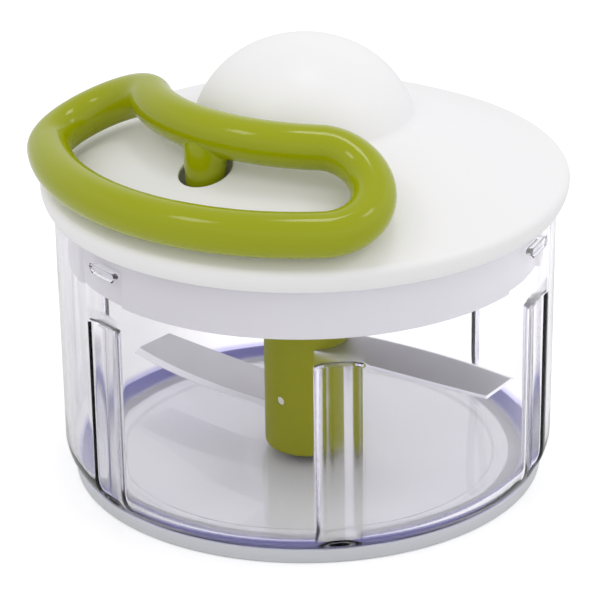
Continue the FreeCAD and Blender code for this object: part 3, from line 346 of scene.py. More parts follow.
# %% Base pad
PAD_RADIUS, PAD_RIM_RADIUS, PAD_RIM_TOP, PAD_SHEET, PAD_GAP = 69.4, 69.8, 4.6, 1.2, 0.06
PAD_FOOT_ROUND, PAD_LIP_ROUND, PAD_STEP_OUTER, PAD_STEP_INNER = 0.9, 0.25, 56.0, 55.0
foot_middle = FOOT_RADIUS - FOOT_ROUND
foot_level = UNDERSIDE + FOOT_ROUND
hug = FOOT_ROUND + PAD_GAP
rim_inner = foot_middle + math.sqrt(hug ** 2 - (foot_level - PAD_RIM_TOP) ** 2)
pad_section = np.concatenate([
    [(0, 0)],
    rounded([(0, 0, 0), (PAD_RADIUS, 0, PAD_FOOT_ROUND),
             (PAD_RIM_RADIUS, PAD_RIM_TOP, PAD_LIP_ROUND), (rim_inner, PAD_RIM_TOP, 0)])[1:],
    arc((rim_inner, PAD_RIM_TOP), (foot_middle, UNDERSIDE - PAD_GAP), -hug, 12)[1:],
    [(PAD_STEP_OUTER, UNDERSIDE - PAD_GAP), (PAD_STEP_INNER, PAD_SHEET), (0, PAD_SHEET)]])
pad = seat(piece_from_grids("base_ring", [spin(pad_section, around(240))]),
           "bowl", "base_pad")

# %% [markdown]
# ## The lid
#
# The lid is a shell of even wall: a rounded brim, a shallow cone, a soft crease and a dome of two
# tangent arcs.  A subdivided plate could be pulled into that form, but arcs of the true radii give
# cleaner highlights.  The hole that the handle's stem parks in is carved out afterwards with a tool
# whose top flares like the moulded lip.

# %% Lid skin
LID_WALL = 2.2
DOME_TOP, CROWN_ROUND, SIDE_ROUND, CROWN_ANGLE = 132.6, 36.0, 30.3, math.radians(30)
CREASE_RADIUS, CREASE, CREASE_ROUND = 32.0, 109.8, 1.6
CONE_EDGE_RADIUS, CONE_EDGE, CONE_ROUND = 75.35, 93.2, 340.0
BRIM_BOTTOM_RADIUS, BRIM_BOTTOM, BRIM_RADIUS, BRIM_WIDEST = 75.3, 86.4, 76.8, 91.0
BRIM_SIDE_ROUND, BRIM_TOP_ROUND, BRIM_BREAK = 9.0, 2.5, 0.3
BRIM_INNER, SEAT_INNER, SEAT = 73.5, 67.6, 88.1
CREASE_DROP, EDGE_DROP = 0.8, 0.9


def lid_skin(inset):
    """Points from the cone's edge to the top of the dome, moved inwards by the inset.

    The cone is shallow, so its ends move down by most of the inset: the two drops are shares of it.
    """
    crown_middle = DOME_TOP - CROWN_ROUND
    crown, side = CROWN_ROUND - inset, SIDE_ROUND - inset
    side_x = (CROWN_ROUND - SIDE_ROUND) * math.sin(CROWN_ANGLE)
    side_z = crown_middle + (CROWN_ROUND - SIDE_ROUND) * math.cos(CROWN_ANGLE)
    crease_z = CREASE - CREASE_DROP * inset
    crease = (side_x + math.sqrt(side ** 2 - (crease_z - side_z) ** 2), crease_z)
    shoulder = (crown * math.sin(CROWN_ANGLE), crown_middle + crown * math.cos(CROWN_ANGLE))
    edge = (CONE_EDGE_RADIUS - inset, CONE_EDGE - EDGE_DROP * inset)
    return [arc(edge, crease, CONE_ROUND, 40), arc(crease, shoulder, side, 26),
            arc(shoulder, (0, crown_middle + crown), crown, 16)]


def soften(cone, side, blend):
    """Replace the sharp meeting of two curves by a curve that is tangent to both.

    The ends lie about one blend away on either side, and the corner is the middle control point
    of a quadratic curve between them.
    """
    corner = cone[-1]
    before = cone[np.hypot(*(cone - corner).T) > blend]
    after = side[np.hypot(*(side - corner).T) > blend]
    share = np.linspace(0, 1, 12)[1:-1, None]
    curve = ((1 - share) ** 2 * before[-1] + 2 * share * (1 - share) * corner
             + share ** 2 * after[0])
    return [before, curve, after]


cone, dome_side, crown = lid_skin(0)
outer_skin = np.concatenate([
    arc((BRIM_BOTTOM_RADIUS, BRIM_BOTTOM), (BRIM_RADIUS, BRIM_WIDEST), BRIM_SIDE_ROUND, 8)[:-1],
    arc((BRIM_RADIUS, BRIM_WIDEST), (CONE_EDGE_RADIUS, CONE_EDGE), BRIM_TOP_ROUND, 10)[:-1],
    *soften(cone, dome_side, CREASE_ROUND), crown[1:]])
inner_skin = np.concatenate(lid_skin(LID_WALL))[::-1]
inner_skin = inner_skin[inner_skin[:, 0] < SEAT_INNER]
lid_section = np.concatenate([outer_skin, inner_skin, [
    (SEAT_INNER, inner_skin[-1, 1]), (SEAT_INNER, SEAT), (BRIM_INNER, SEAT),
    (BRIM_INNER, BRIM_BOTTOM + BRIM_BREAK), (BRIM_INNER + BRIM_BREAK, BRIM_BOTTOM)]])
lid = piece_from_grids("lid_shell_white", [spin(lid_section, around(288))])
print("lid skin: %d points, top at %.1f mm" % (len(outer_skin), outer_skin[:, 1].max()))

# %% Dock hole
DOCK_DISTANCE, DOCK_TURN, DOCK_RADIUS = 43.2, math.radians(-130), 7.6
DOCK_WALL, DOCK_FLOOR, DOCK_BOTTOM, DOCK_LIP = 2.2, 93.0, 90.2, 0.45
EYELET_RADIUS, WELL_DROP, TOOL_REACH = 3.2, 1.1, 3.5
dock = np.array([math.cos(DOCK_TURN), math.sin(DOCK_TURN)]) * DOCK_DISTANCE


def lid_height(x, y):
    """Height of the lid's skin over a place, read along its section."""
    order = np.argsort(outer_skin[:, 0])
    return np.interp(np.hypot(x, y), outer_skin[order, 0], outer_skin[order, 1])


def dock_tool(angles):
    """The air of the dock hole: a tube round its own axis that flares above the skin.

    Below the lip the radius is constant, and over the lip's quarter circle it grows by the lip.
    """
    rim_x = dock[0] + DOCK_RADIUS * np.cos(angles)
    rim_y = dock[1] + DOCK_RADIUS * np.sin(angles)
    skin = lid_height(rim_x, rim_y)
    share = np.linspace(0, math.pi / 2, 7)[:, None]
    lip_radius = DOCK_RADIUS + DOCK_LIP * (1 - np.cos(share)) + 0 * angles
    lip_height = skin - DOCK_LIP * (1 - np.sin(share))
    top = skin + 3
    radius = np.concatenate([[0 * angles], [0 * angles + DOCK_RADIUS], lip_radius,
                             [lip_radius[-1] + 1.5], [0 * angles]])
    bottom = 0 * angles + DOCK_FLOOR - TOOL_REACH
    height = np.concatenate([[bottom], [bottom], lip_height, [top], [0 * angles + top.max()]])
    return np.stack([dock[0] + radius * np.cos(angles), dock[1] + radius * np.sin(angles), height],
                    axis=-1)


dock_angles = around(96)
carve(lid, piece_from_grids("dock_air", [dock_tool(dock_angles)]))
# The well's upper edge is rows 2 and 3.  It follows the lid's skin and ends inside its wall.
well = spin([(EYELET_RADIUS, DOCK_FLOOR), (DOCK_RADIUS, DOCK_FLOOR), (DOCK_RADIUS, SEAT),
             (DOCK_RADIUS + DOCK_WALL, SEAT), (DOCK_RADIUS + DOCK_WALL, DOCK_BOTTOM),
             (EYELET_RADIUS, DOCK_BOTTOM)], dock_angles, dock)
well[2:4, :, 2] = lid_height(well[2, :, 0], well[2, :, 1]) - WELL_DROP
well_piece = piece_from_grids("dock_well", [well])
seat(lid, "lid", "lid_shell")
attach(well_piece, "lid")

# %% [markdown]
# ## The inner cover
#
# Below the brim a white skirt closes the lid.  It sits inside the bowl and shows through the wall.
# Its three entry grooves, which let the bowl's lugs pass, are pressed in by the same kind of
# formula as the channels, so their edges stay straight.

# %% Inner cover
SKIRT_RADIUS, SKIRT_WALL, SKIRT_BOTTOM = 69.5, 2.0, 70.0
PLATE_BOTTOM, PLATE_TOP, PLATE_HOLE = 71.5, 73.5, 8.5
GROOVE_RADIUS, GROOVE_TOP = 68.5, 80.9
GROOVE_HALF, GROOVE_TURN = math.radians(9.0), math.radians(-26.5)
skirt_inner = SKIRT_RADIUS - SKIRT_WALL
skirt_top = SEAT - 0.05
groove_rows = [(SKIRT_RADIUS, GROOVE_TOP + rise, 0) for rise in np.linspace(-0.6, 0.6, 7)]
cover_section = rounded(
    [(PLATE_HOLE, PLATE_BOTTOM, 0.4), (skirt_inner, PLATE_BOTTOM, 0),
     (skirt_inner, SKIRT_BOTTOM, 0.3), (SKIRT_RADIUS, SKIRT_BOTTOM, 0.5)] + groove_rows
    + [(SKIRT_RADIUS, skirt_top, 0), (skirt_inner, skirt_top, 0), (skirt_inner, PLATE_TOP, 0),
       (PLATE_HOLE, PLATE_TOP, 0.4)])
edge_turn = GROOVE_HALF + np.linspace(-0.012, 0.012, 7)
third_turn = np.concatenate([-edge_turn[::-1], np.linspace(-0.14, 0.14, 9), edge_turn,
                             np.linspace(0.2, THIRD - 0.2, 52)])
cover_angles = np.sort((GROOVE_TURN + np.arange(3)[:, None] * THIRD + third_turn).ravel())
groove_off = np.abs((cover_angles - GROOVE_TURN + THIRD / 2) % THIRD - THIRD / 2)
in_groove = ((1 - smooth(groove_off, GROOVE_HALF - 0.006, GROOVE_HALF + 0.006))
             * (1 - smooth(cover_section[:, 1:2], GROOVE_TOP - 0.4, GROOVE_TOP + 0.4)))
cover_grid = spin(cover_section, cover_angles)
outside = cover_section[:, 0:1] > GROOVE_RADIUS
sink = np.where(outside, (SKIRT_RADIUS - GROOVE_RADIUS) * in_groove, 0)
cover_grid[..., :2] *= (1 - sink / np.maximum(cover_section[:, 0:1], 1))[..., None]
cover = seat(piece_from_grids("skirt_and_plate", [cover_grid]), "lid", "inner_cover")

# %% [markdown]
# ## The blade post
#
# The green post is a plain turned form with a hexagon socket in its top, where the reel's drive
# drops in.  A pale cross pin sits in its side.  The socket is the same spun section with a radius
# that follows a hexagon, and the pin's hole is carved.  The post's foot is hollow, so it reaches
# down over the boss in the bowl's floor.

# %% Post
HUB_RADIUS, HUB_BOTTOM, HUB_TOP, HUB_ROUND = 12.8, 5.2, 70.5, 2.0
BUSH_RADIUS, FLANGE_RADIUS, FLANGE_TOP, BORE_TOP = 6.0, 8.0, 8.4, 20.8
SOCKET_BOTTOM, SOCKET_HALF = 60.0, 6.05
BOSS_ROOM_RADIUS, BOSS_ROOM_TOP = 9.5, 6.8
PIN_RADIUS, PIN_HEIGHT, PIN_TURN, PIN_ROOM = 1.3, 22.9, math.radians(-129.3), 0.08
hub_section = np.concatenate([
    [(0, SOCKET_BOTTOM), (1, SOCKET_BOTTOM), (1, HUB_TOP - 0.5)],
    rounded([(1, HUB_TOP, 0), (HUB_RADIUS, HUB_TOP, 0.6), (HUB_RADIUS, 45, 0),
             (HUB_RADIUS, HUB_BOTTOM, HUB_ROUND), (BOSS_ROOM_RADIUS, HUB_BOTTOM, 0.3),
             (BOSS_ROOM_RADIUS, BOSS_ROOM_TOP, 0), (FLANGE_RADIUS, BOSS_ROOM_TOP, 0),
             (FLANGE_RADIUS, FLANGE_TOP, 0), (BUSH_RADIUS, FLANGE_TOP, 0),
             (BUSH_RADIUS, BORE_TOP, 0)], 6),
    [(0, BORE_TOP)]])
hub_angles = around(144)
hub_grid = spin(hub_section, hub_angles)
hexagon = SOCKET_HALF / np.cos((hub_angles + SIXTH / 2) % SIXTH - SIXTH / 2)
for row, grow in ((1, 0.0), (2, 0.0), (3, 0.5)):
    hub_grid[row, :, 0] = (hexagon + grow) * np.cos(hub_angles)
    hub_grid[row, :, 1] = (hexagon + grow) * np.sin(hub_angles)
hub = piece_from_grids("blade_post", [hub_grid])


def lying_rod(name, radius, reach, height, turn):
    """A rod along a level line through the axis: a spun section laid over and turned."""
    rod = spin([(0, -reach), (radius, -reach), (radius, reach), (0, reach)], around(40))
    across, up, along = rod[..., 0], rod[..., 1], rod[..., 2]
    rod = np.stack([along * math.cos(turn) - across * math.sin(turn),
                    along * math.sin(turn) + across * math.cos(turn), up + height], axis=-1)
    return piece_from_grids(name, [rod])


carve(hub, lying_rod("pin_air", PIN_RADIUS + PIN_ROOM, HUB_RADIUS + 2, PIN_HEIGHT, PIN_TURN))
seat(hub, "blades", "blade_hub")

# %% [markdown]
# ## The blades
#
# Each blade is a flat strip of steel whose front edge bows and is ground to a bevel on top.  Its
# cross-section keeps the same points all along, and only the front edge moves, so the blade is one
# loft.  The corners carry a tiny round, because a real edge always catches a line of light.

# %% Blades
BLADE = {"start": 7.0, "reach": 66.5, "back": -9.3, "front": 8.9, "tip": 6.4, "bow": 169.0,
         "half": 0.6, "bevel": 2.4, "land": 0.3, "unit": 18.0, "steps": 40}
BLADE_LOW, BLADE_HIGH = 17.0, 40.0


def blade_front(x):
    """How far the front edge stands out: an arc of the bow's radius from the post to the tip."""
    edge = arc((BLADE["reach"], BLADE["tip"]), (HUB_RADIUS, BLADE["front"]), BLADE["bow"], 40)[::-1]
    return np.interp(x, edge[:, 0], edge[:, 1])


def blade_grid(height, turn):
    """Sections across the blade at steps along it, closed by a narrowed ring and a line.

    The section's first number runs from 0 at the back edge to 1 at the front edge.  Points near
    the front lie (number - 1) units away from that edge, and so they move with it.
    """
    steps, unit, half, back = BLADE["steps"], BLADE["unit"], BLADE["half"], BLADE["back"]
    x = np.concatenate([[BLADE["start"]], np.linspace(BLADE["start"], BLADE["reach"] - 0.12, steps),
                        BLADE["reach"] - np.array([0.05, 0.0, 0.0])])
    inset = np.concatenate([[1], np.zeros(steps), [0.05, 0.12, 1]])
    flat = np.concatenate([[0], np.ones(steps), [1, 1, 0]])
    section = rounded([(0, -half, 0.1), (1, -half, 0), (1, BLADE["land"] - half, 0.08),
                       (1 - BLADE["bevel"] / unit, half, 0.12), (0, half, 0.1)], 3)
    front = blade_front(x)
    lean = section[:, 0] - 1
    y = np.where(section[:, 0] > 0.5, front[:, None] + lean * unit, back + section[:, 0])
    middle = (front[:, None] + back) / 2
    y = np.where(flat[:, None] > 0, y - np.sign(y - middle) * inset[:, None], middle)
    z = section[:, 1] * flat[:, None] * (1 - inset[:, None] * 0.8 * (flat[:, None] > 0))
    return np.stack([x[:, None] * math.cos(turn) - y * math.sin(turn),
                     x[:, None] * math.sin(turn) + y * math.cos(turn), z + height], axis=-1)


for name, node, height, turn in (("blade_low", "lower_blade", BLADE_LOW, 138.3),
                                 ("blade_high", "upper_blade", BLADE_HIGH, -33.7)):
    blade = piece_from_grids(name, [blade_grid(height, math.radians(turn))], 20)
    seat(blade, "blades", node)

# %% [markdown]
# ## The handle
#
# The handle is a closed loop of round bar, bent like a bean so that it lies round the dome.  A
# Bezier curve with a bevel could make it, but its section would drift where the curve tightens.
# Here the middle line is made of tangent arcs, laid on a shallow cone, and a circle is carried
# along it.  The stem grows out of the bar through a fillet: for every direction round the stem, a
# cubic curve leaves the stem upright and lands flat on the bar.

# %% Middle line of the loop
TUBE = 6.35
LOOP_OUTER, LOOP_INNER, LOBE, LOBE_SIDE, LOBE_REACH = 73.7, 41.9, 15.0, 40.5, 42.5
LOOP_SLOPE, LOOP_LEVEL = 0.45, 135.9
inner_centre = (((LOOP_INNER + LOBE) ** 2 - LOBE_SIDE ** 2 - LOBE_REACH ** 2)
                / (2 * (LOOP_INNER + LOBE - LOBE_REACH)))
inner_round = LOOP_INNER - inner_centre


def loop_plan(steps):
    """The bean seen from above, as (side, reach): inner arc, lobe, outer arc and lobe."""
    meet_outer = math.atan2(LOBE_REACH, LOBE_SIDE)
    meet_inner = math.atan2(LOBE_REACH - inner_centre, LOBE_SIDE)
    right = math.pi / 2 - meet_inner

    def bend(centre, radius, first, last, count):
        angle = np.linspace(first, last, count, endpoint=False)
        return np.array(centre) + radius * np.stack([np.sin(angle), np.cos(angle)], axis=1)

    lobe_first, lobe_last = right + math.pi, math.pi / 2 - meet_outer
    outer = math.pi / 2 - meet_outer
    return np.concatenate([
        bend((0, inner_centre), inner_round, -right, right, steps),
        bend((LOBE_SIDE, LOBE_REACH), LOBE, lobe_first, lobe_last, steps),
        bend((0, 0), LOOP_OUTER, outer, -outer, steps),
        bend((-LOBE_SIDE, LOBE_REACH), LOBE, -lobe_last, -lobe_first, steps)])


def loop_line(count):
    """Evenly spaced points of the middle line: the plan turned outwards and laid on the cone."""
    plan = loop_plan(600)
    outward = np.array([math.cos(DOCK_TURN), math.sin(DOCK_TURN)])
    sideways = np.array([-outward[1], outward[0]])
    flat = plan[:, :1] * sideways + plan[:, 1:] * outward
    line = np.column_stack([flat, LOOP_LEVEL - LOOP_SLOPE * np.hypot(*flat.T)])
    step = np.linalg.norm(np.roll(line, -1, axis=0) - line, axis=1)
    length = np.concatenate([[0], np.cumsum(step)])
    wanted = np.linspace(0, length[-1], count, endpoint=False)
    closed = np.vstack([line, line[:1]])
    return np.column_stack([np.interp(wanted, length, closed[:, k]) for k in range(3)])


def loop_frames(line):
    """Directions at each point of a closed line: along it, level across it, and square to both."""
    along = np.roll(line, -1, axis=0) - np.roll(line, 1, axis=0)
    along /= np.linalg.norm(along, axis=1, keepdims=True)
    level = np.cross(along, [0, 0, 1.0])
    level /= np.linalg.norm(level, axis=1, keepdims=True)
    return along, level, np.cross(level, along)


# %% Loop and stem
LOOP_STEPS, TUBE_SIDES = 460, 56
loop = loop_line(LOOP_STEPS)
loop_along, loop_level, loop_rise = loop_frames(loop)


def around_bar(step, angle, radius):
    """Points on the bar and their outward directions: angle 0 is straight down."""
    number = np.arange(LOOP_STEPS)

    def pick(values):
        return np.stack([np.interp(step % LOOP_STEPS, number, values[:, k]) for k in range(3)],
                        axis=-1)

    out = -np.cos(angle)[..., None] * pick(loop_rise) + np.sin(angle)[..., None] * pick(loop_level)
    return pick(loop) + radius * out, out


step_grid, angle_grid = np.meshgrid(np.arange(LOOP_STEPS), around(TUBE_SIDES), indexing="ij")
bar_grid = around_bar(step_grid.astype(float), angle_grid, TUBE)[0]
stem_step = int(np.argmin(np.hypot(loop[:, 0] - dock[0], loop[:, 1] - dock[1])))
spacing = np.linalg.norm(loop[1] - loop[0])
print("loop is %.0f mm long, its stem meets it %.2f mm off the dock" % (
    spacing * LOOP_STEPS, np.hypot(*(loop[stem_step, :2] - dock))))

STEM_TOP_RADIUS, STEM_TIP_RADIUS, STEM_BOTTOM = 6.0, 5.3, 93.1
STEM_BORE, STEM_BORE_TOP, STEM_FILLET = 3.62, 103.6, 3.4
FILLET_PULL, LANDING_SPREAD, LANDING_SINK = 0.62, 1.02, 0.03


def stem_grid(angles):
    """Bore, foot and cone of the stem, then a cubic fillet that lands on the bar.

    Point = (1-t)^3 a + 3t(1-t)^2 b + 3t^2(1-t) c + t^3 d, where b stands straight above a and c
    lies beside d along the bar's surface.
    """
    bar_bottom = loop[stem_step, 2] - TUBE
    start = bar_bottom - STEM_FILLET
    straight = spin(np.concatenate([
        [(0, STEM_BORE_TOP), (STEM_BORE, STEM_BORE_TOP)],
        rounded([(STEM_BORE, STEM_BOTTOM, 0.3), (STEM_TIP_RADIUS, STEM_BOTTOM, 0.6),
                 (STEM_TOP_RADIUS - 0.1, start - 1, 0)], 4)]), angles, dock)
    along = loop_along[stem_step]
    heading = math.atan2(along[1], along[0])
    off = angles - heading
    reach = (STEM_TOP_RADIUS + STEM_FILLET) * np.cos(off)
    spread = STEM_TOP_RADIUS * LANDING_SPREAD
    side = -np.arcsin(np.clip(spread * np.sin(off) / TUBE, -1, 1))
    land, out = around_bar(stem_step + reach / spacing, side, TUBE - LANDING_SINK)
    ring = np.stack([dock[0] + STEM_TOP_RADIUS * np.cos(angles),
                     dock[1] + STEM_TOP_RADIUS * np.sin(angles), start + 0 * angles], axis=-1)
    away = land - np.array([dock[0], dock[1], 0])
    away[:, 2] = 0
    away -= (away * out).sum(axis=1, keepdims=True) * out
    away /= np.linalg.norm(away, axis=1, keepdims=True)
    rise = (land - ring)[:, 2:]
    lift = ring + np.concatenate([np.zeros((len(angles), 2)), FILLET_PULL * rise], axis=1)
    share = np.abs(reach / (STEM_TOP_RADIUS + STEM_FILLET))[:, None]
    pull = land - away * FILLET_PULL * share * STEM_FILLET
    t = np.linspace(0, 1, 14)[:, None, None]
    fillet = ((1 - t) ** 3 * ring + 3 * t * (1 - t) ** 2 * lift
              + 3 * t ** 2 * (1 - t) * pull + t ** 3 * land)
    heart = np.broadcast_to(loop[stem_step], (1, len(angles), 3))
    return np.concatenate([straight, fillet, heart])


handle = piece_from_grids("pull_loop", [bar_grid, stem_grid(around(72))], 40)
seat(handle, "handle", "pull_handle")

# %% [markdown]
# ## The cord
#
# At rest no cord can be seen: a short end of it runs up through the eyelet into the stem.  When the
# handle is pulled the cord comes out, held straight all the way.  So it is a short column of
# rings round the dock's axis, from under the dock up into the stem.

# %% Cord between lid and handle
CORD_RADIUS, CORD_END, PLUG_TOP = 1.0, 88.5, 97.6
cord_heights = np.linspace(CORD_END, PLUG_TOP, 60)
cord_section = [(0, CORD_END)] + [(CORD_RADIUS, z) for z in cord_heights] + [(0, PLUG_TOP)]
cord = piece_from_grids("cord_out", [spin(cord_section, around(20), dock)], 50)
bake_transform(cord)
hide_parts("cord_lead")

# %% [markdown]
# ## Writing shader maths as sums
#
# A material is a web of nodes, and wiring each by hand hides the idea.  A small class holds one
# output socket, and the signs + - * and ** on it add Math nodes, so a mask reads like a formula.
# One method adds every other node from its type, its settings and its inputs.

# %% Wires and finishes
def srgb(red, green, blue):
    """A screen colour, 0 to 255, as the linear colour that shaders use."""
    share = np.array([red, green, blue]) / 255
    linear = np.where(share <= 0.04045, share / 12.92, ((share + 0.055) / 1.055) ** 2.4)
    return (*linear.tolist(), 1.0)


class Wire:
    """One output socket that can be used in sums."""

    def __init__(self, finish, socket):
        self.finish = finish
        self.socket = socket

    def math(self, operation, *values):
        return self.finish.add("ShaderNodeMath", {"operation": operation},
                               dict(enumerate(values)))

    def __add__(self, other):
        return self.math("ADD", self, other)

    def __sub__(self, other):
        return self.math("SUBTRACT", self, other)

    def __rsub__(self, other):
        return self.math("SUBTRACT", other, self)

    def __mul__(self, other):
        return self.math("MULTIPLY", self, other)

    def __pow__(self, other):
        return self.math("POWER", self, other)

    __radd__ = __add__
    __rmul__ = __mul__

    def step(self, low, high):
        """A soft step from 0 at low to 1 at high."""
        return self.finish.add("ShaderNodeMapRange", {"interpolation_type": "SMOOTHSTEP"},
                               {"Value": self, "From Min": low, "From Max": high})


class Finish:
    """A node tree that gets its nodes from one method."""

    def __init__(self, tree):
        self.tree = tree
        tree.nodes.clear()

    def add(self, kind, settings=None, inputs=None, output=0):
        """Add a node, set it up, then fill its inputs with values or wires."""
        node = self.tree.nodes.new(kind)
        for name, value in (settings or {}).items():
            setattr(node, name, value)
        for name, value in (inputs or {}).items():
            socket = node.inputs[name]
            if isinstance(value, Wire):
                self.tree.links.new(value.socket, socket)
            else:
                socket.default_value = value
        return Wire(self, node.outputs[output])

    def place(self, scale=(1, 1, 1)):
        """Object coordinates in metres, stretched by a scale."""
        spot = self.add("ShaderNodeTexCoord", output="Object")
        return self.add("ShaderNodeMapping", inputs={"Vector": spot, "Scale": scale})

    def axes(self):
        """The three parts of the place: x, y and z, in millimetres."""
        spot = self.place((1000, 1000, 1000))
        return [self.add("ShaderNodeSeparateXYZ", inputs={"Vector": spot}, output=k)
                for k in range(3)]

    def noise(self, scale, detail=3.0, stretch=(1, 1, 1)):
        """Cloudy values from 0 to 1 whose lumps are about 1 / scale metres wide."""
        return self.add("ShaderNodeTexNoise", inputs={
            "Vector": self.place(stretch), "Scale": scale, "Detail": detail})

    def blend(self, share, one, other):
        """A colour between two, by a share from 0 to 1."""
        return self.add("ShaderNodeMix", {"data_type": "RGBA"},
                        {0: share, 6: one, 7: other}, output=2)

    def bump(self, height, strength, distance):
        """A surface that is dented by a height, in metres at full strength."""
        return self.add("ShaderNodeBump", inputs={
            "Height": height, "Strength": strength, "Distance": distance})

    def end(self, shader, kind="ShaderNodeOutputMaterial"):
        """Show a shader on the surface, or as the world."""
        node = self.tree.nodes.new(kind)
        self.tree.links.new(shader.socket, node.inputs["Surface"])

    def fill(self, volume):
        """Fill the inside of the piece with a volume shader."""
        output = next(node for node in self.tree.nodes if node.type == "OUTPUT_MATERIAL")
        self.tree.links.new(volume.socket, output.inputs["Volume"])


def new_finish(name):
    """A new material and the finish that fills it."""
    material = bpy.data.materials.new(name)
    material.use_nodes = True
    return material, Finish(material.node_tree)


# %% [markdown]
# ## Finishes
#
# Moulded plastic is never one flat value.  Its gloss wanders a little, and its skin has a faint
# orange peel from the mould.  Both come from soft noise, kept weak enough to show only in the
# highlights.  The clear bowl bends light for real.  Its volume takes out a little light and leaves
# lilac, so the thick parts look darker, and its foot carries some of that tint on the surface too.

# %% Moulded plastics
def moulded(name, colour, deeper, gloss, shine=0.5):
    """Opaque moulded plastic: two close colours, wandering gloss and a faint orange peel."""
    material, finish = new_finish(name)
    cloud = finish.noise(9.0, 2.0)
    tone = finish.blend(cloud.step(0.35, 0.65), colour, deeper)
    peel_height = finish.noise(900.0, 1.0)
    skin = finish.add("ShaderNodeBsdfPrincipled", inputs={
        "Base Color": tone, "Roughness": gloss + 0.05 * finish.noise(60.0),
        "Normal": finish.bump(peel_height, 0.06, 0.0002), "IOR": 1.5,
        "Specular IOR Level": shine})
    finish.end(skin)
    return material


green_plastic = moulded("green_plastic", srgb(152, 160, 4), srgb(146, 153, 3), 0.10, 0.32)
# The post is the handle's green plastic, painted darker and matter here as shade for a post that
# stands inside the bowl under the lid.
shaded_post_plastic = moulded("shaded_post_plastic", srgb(140, 142, 3), srgb(134, 136, 3), 0.40, 0.1)
white_plastic = moulded("white_plastic", srgb(237, 236, 237), srgb(234, 233, 235), 0.36, 0.35)
# The inner cover is the lid's white plastic, painted grey here as shade for the skirt under the
# brim and behind the bowl's wall.
shaded_cover_plastic = moulded("shaded_cover_plastic", srgb(213, 212, 215), srgb(209, 208, 212), 0.42)
reel_plastic = moulded("reel_plastic", srgb(205, 206, 208), srgb(196, 197, 200), 0.45)
bush_plastic = moulded("bush_plastic", srgb(222, 220, 210), srgb(214, 212, 202), 0.4)


# %% Clear bowl and milky pad
def clear_plastic():
    """Clear plastic that bends light, lilac in the thick corner of the foot.

    The channels and the outer edge of the underside are slightly rough.  The steps are places in
    millimetres: across from a channel's middle, out from the axis, and up.
    """
    material, finish = new_finish("clear_plastic")
    x, y, z = finish.axes()
    radius = (x * x + y * y) ** 0.5
    from_foot = ((radius - foot_middle) ** 2 + (z - foot_level) ** 2) ** 0.5
    turned = y.math("ARCTAN2", y, x) + (SIXTH / 2 - math.radians(CHANNEL_TURN))
    across = turned.math("WRAP", turned, SIXTH, 0.0) - SIXTH / 2
    across = across.math("ABSOLUTE", across) * RIM_RADIUS
    in_channel = (1 - across.step(6.9, 7.6)) * z.step(5.0, 7.0) * (1 - z.step(66.0, 68.0))
    corner = from_foot.step(9.0, 9.6) * radius.step(63.0, 66.0) * (1 - z.step(5.0, 6.8))
    tint = finish.blend(corner, (1, 1, 1, 1), srgb(176, 172, 235))
    under_edge = (1 - z.step(UNDERSIDE, UNDERSIDE + 0.3)) * radius.step(59.0, 61.0)
    skin = finish.add("ShaderNodeBsdfPrincipled", inputs={
        "Base Color": tint, "Roughness": 0.16 * in_channel + 0.5 * under_edge, "IOR": 1.53,
        "Transmission Weight": 1.0, "Specular Tint": (0.15, 0.15, 0.15, 1),
        "Normal": finish.bump(finish.noise(55.0, 1.0), 0.03, 0.0005)})
    finish.end(skin)
    depth = finish.add("ShaderNodeVolumeAbsorption", inputs={
        "Color": (0.35, 0.20, 0.80, 1), "Density": 14.0})
    finish.fill(depth)
    return material


def milky_plastic():
    """Soft milky plastic: light passes, but nothing shows through clearly.  Its outer ring is
    painted grey as shade.
    """
    material, finish = new_finish("milky_plastic")
    cloud = finish.noise(40.0)
    x, y = finish.axes()[:2]
    # From 60 to 66 mm out from the axis the pad turns grey: painted shade on the ring round the
    # bowl's foot.
    rim = ((x * x + y * y) ** 0.5).step(60.0, 66.0)
    tone = finish.blend(cloud, srgb(244, 246, 245), srgb(248, 249, 249))
    tone = finish.blend(rim, tone, srgb(204, 206, 210))
    skin = finish.add("ShaderNodeBsdfPrincipled", inputs={
        "Base Color": tone, "Roughness": 0.35 + 0.1 * cloud, "IOR": 1.45,
        "Subsurface Weight": 0.3, "Subsurface Scale": 0.002,
        "Subsurface Radius": (1.0, 1.0, 1.0)})
    finish.end(skin)
    return material


clear_bowl_finish = clear_plastic()
milky_pad_finish = milky_plastic()


# %% Metals and cord
def metal(name, colour, gloss, grain=(1, 1, 1)):
    """Polished metal with fine lines: noise stretched along the way it was ground."""
    material, finish = new_finish(name)
    lines = finish.noise(400.0, 2.0, grain)
    skin = finish.add("ShaderNodeBsdfPrincipled", inputs={
        "Base Color": finish.blend(lines, colour, tuple(0.94 * c for c in colour[:3]) + (1.0,)),
        "Metallic": 1.0, "Roughness": gloss + 0.08 * lines,
        "Normal": finish.bump(lines, 0.05, 0.00005)})
    finish.end(skin)
    return material


def blade_steel_with_highlight():
    """Brushed blade steel: grey on the flat top, with a painted highlight that makes the bevel and
    underside brighter.
    """
    material, finish = new_finish("blade_steel")
    lines = finish.noise(120.0, 2.0, (1, 1, 0.05))
    z = finish.axes()[2]
    upper = z.math("GREATER_THAN", z, (BLADE_LOW + BLADE_HIGH) / 2)
    above = z - BLADE_LOW - (BLADE_HIGH - BLADE_LOW) * upper
    flat = finish.blend(lines, srgb(196, 195, 199), srgb(190, 189, 193))
    # Below 0.4 mm over the blade's middle, so on the bevel and the underside, the steel colour is
    # painted brighter as a highlight.
    skin = finish.add("ShaderNodeBsdfPrincipled", inputs={
        "Base Color": finish.blend(above.step(0.40, 0.55), srgb(240, 239, 243), flat),
        "Metallic": 1.0, "Roughness": 0.42 + 0.08 * lines,
        "Normal": finish.bump(lines, 0.05, 0.00005)})
    finish.end(skin)
    return material


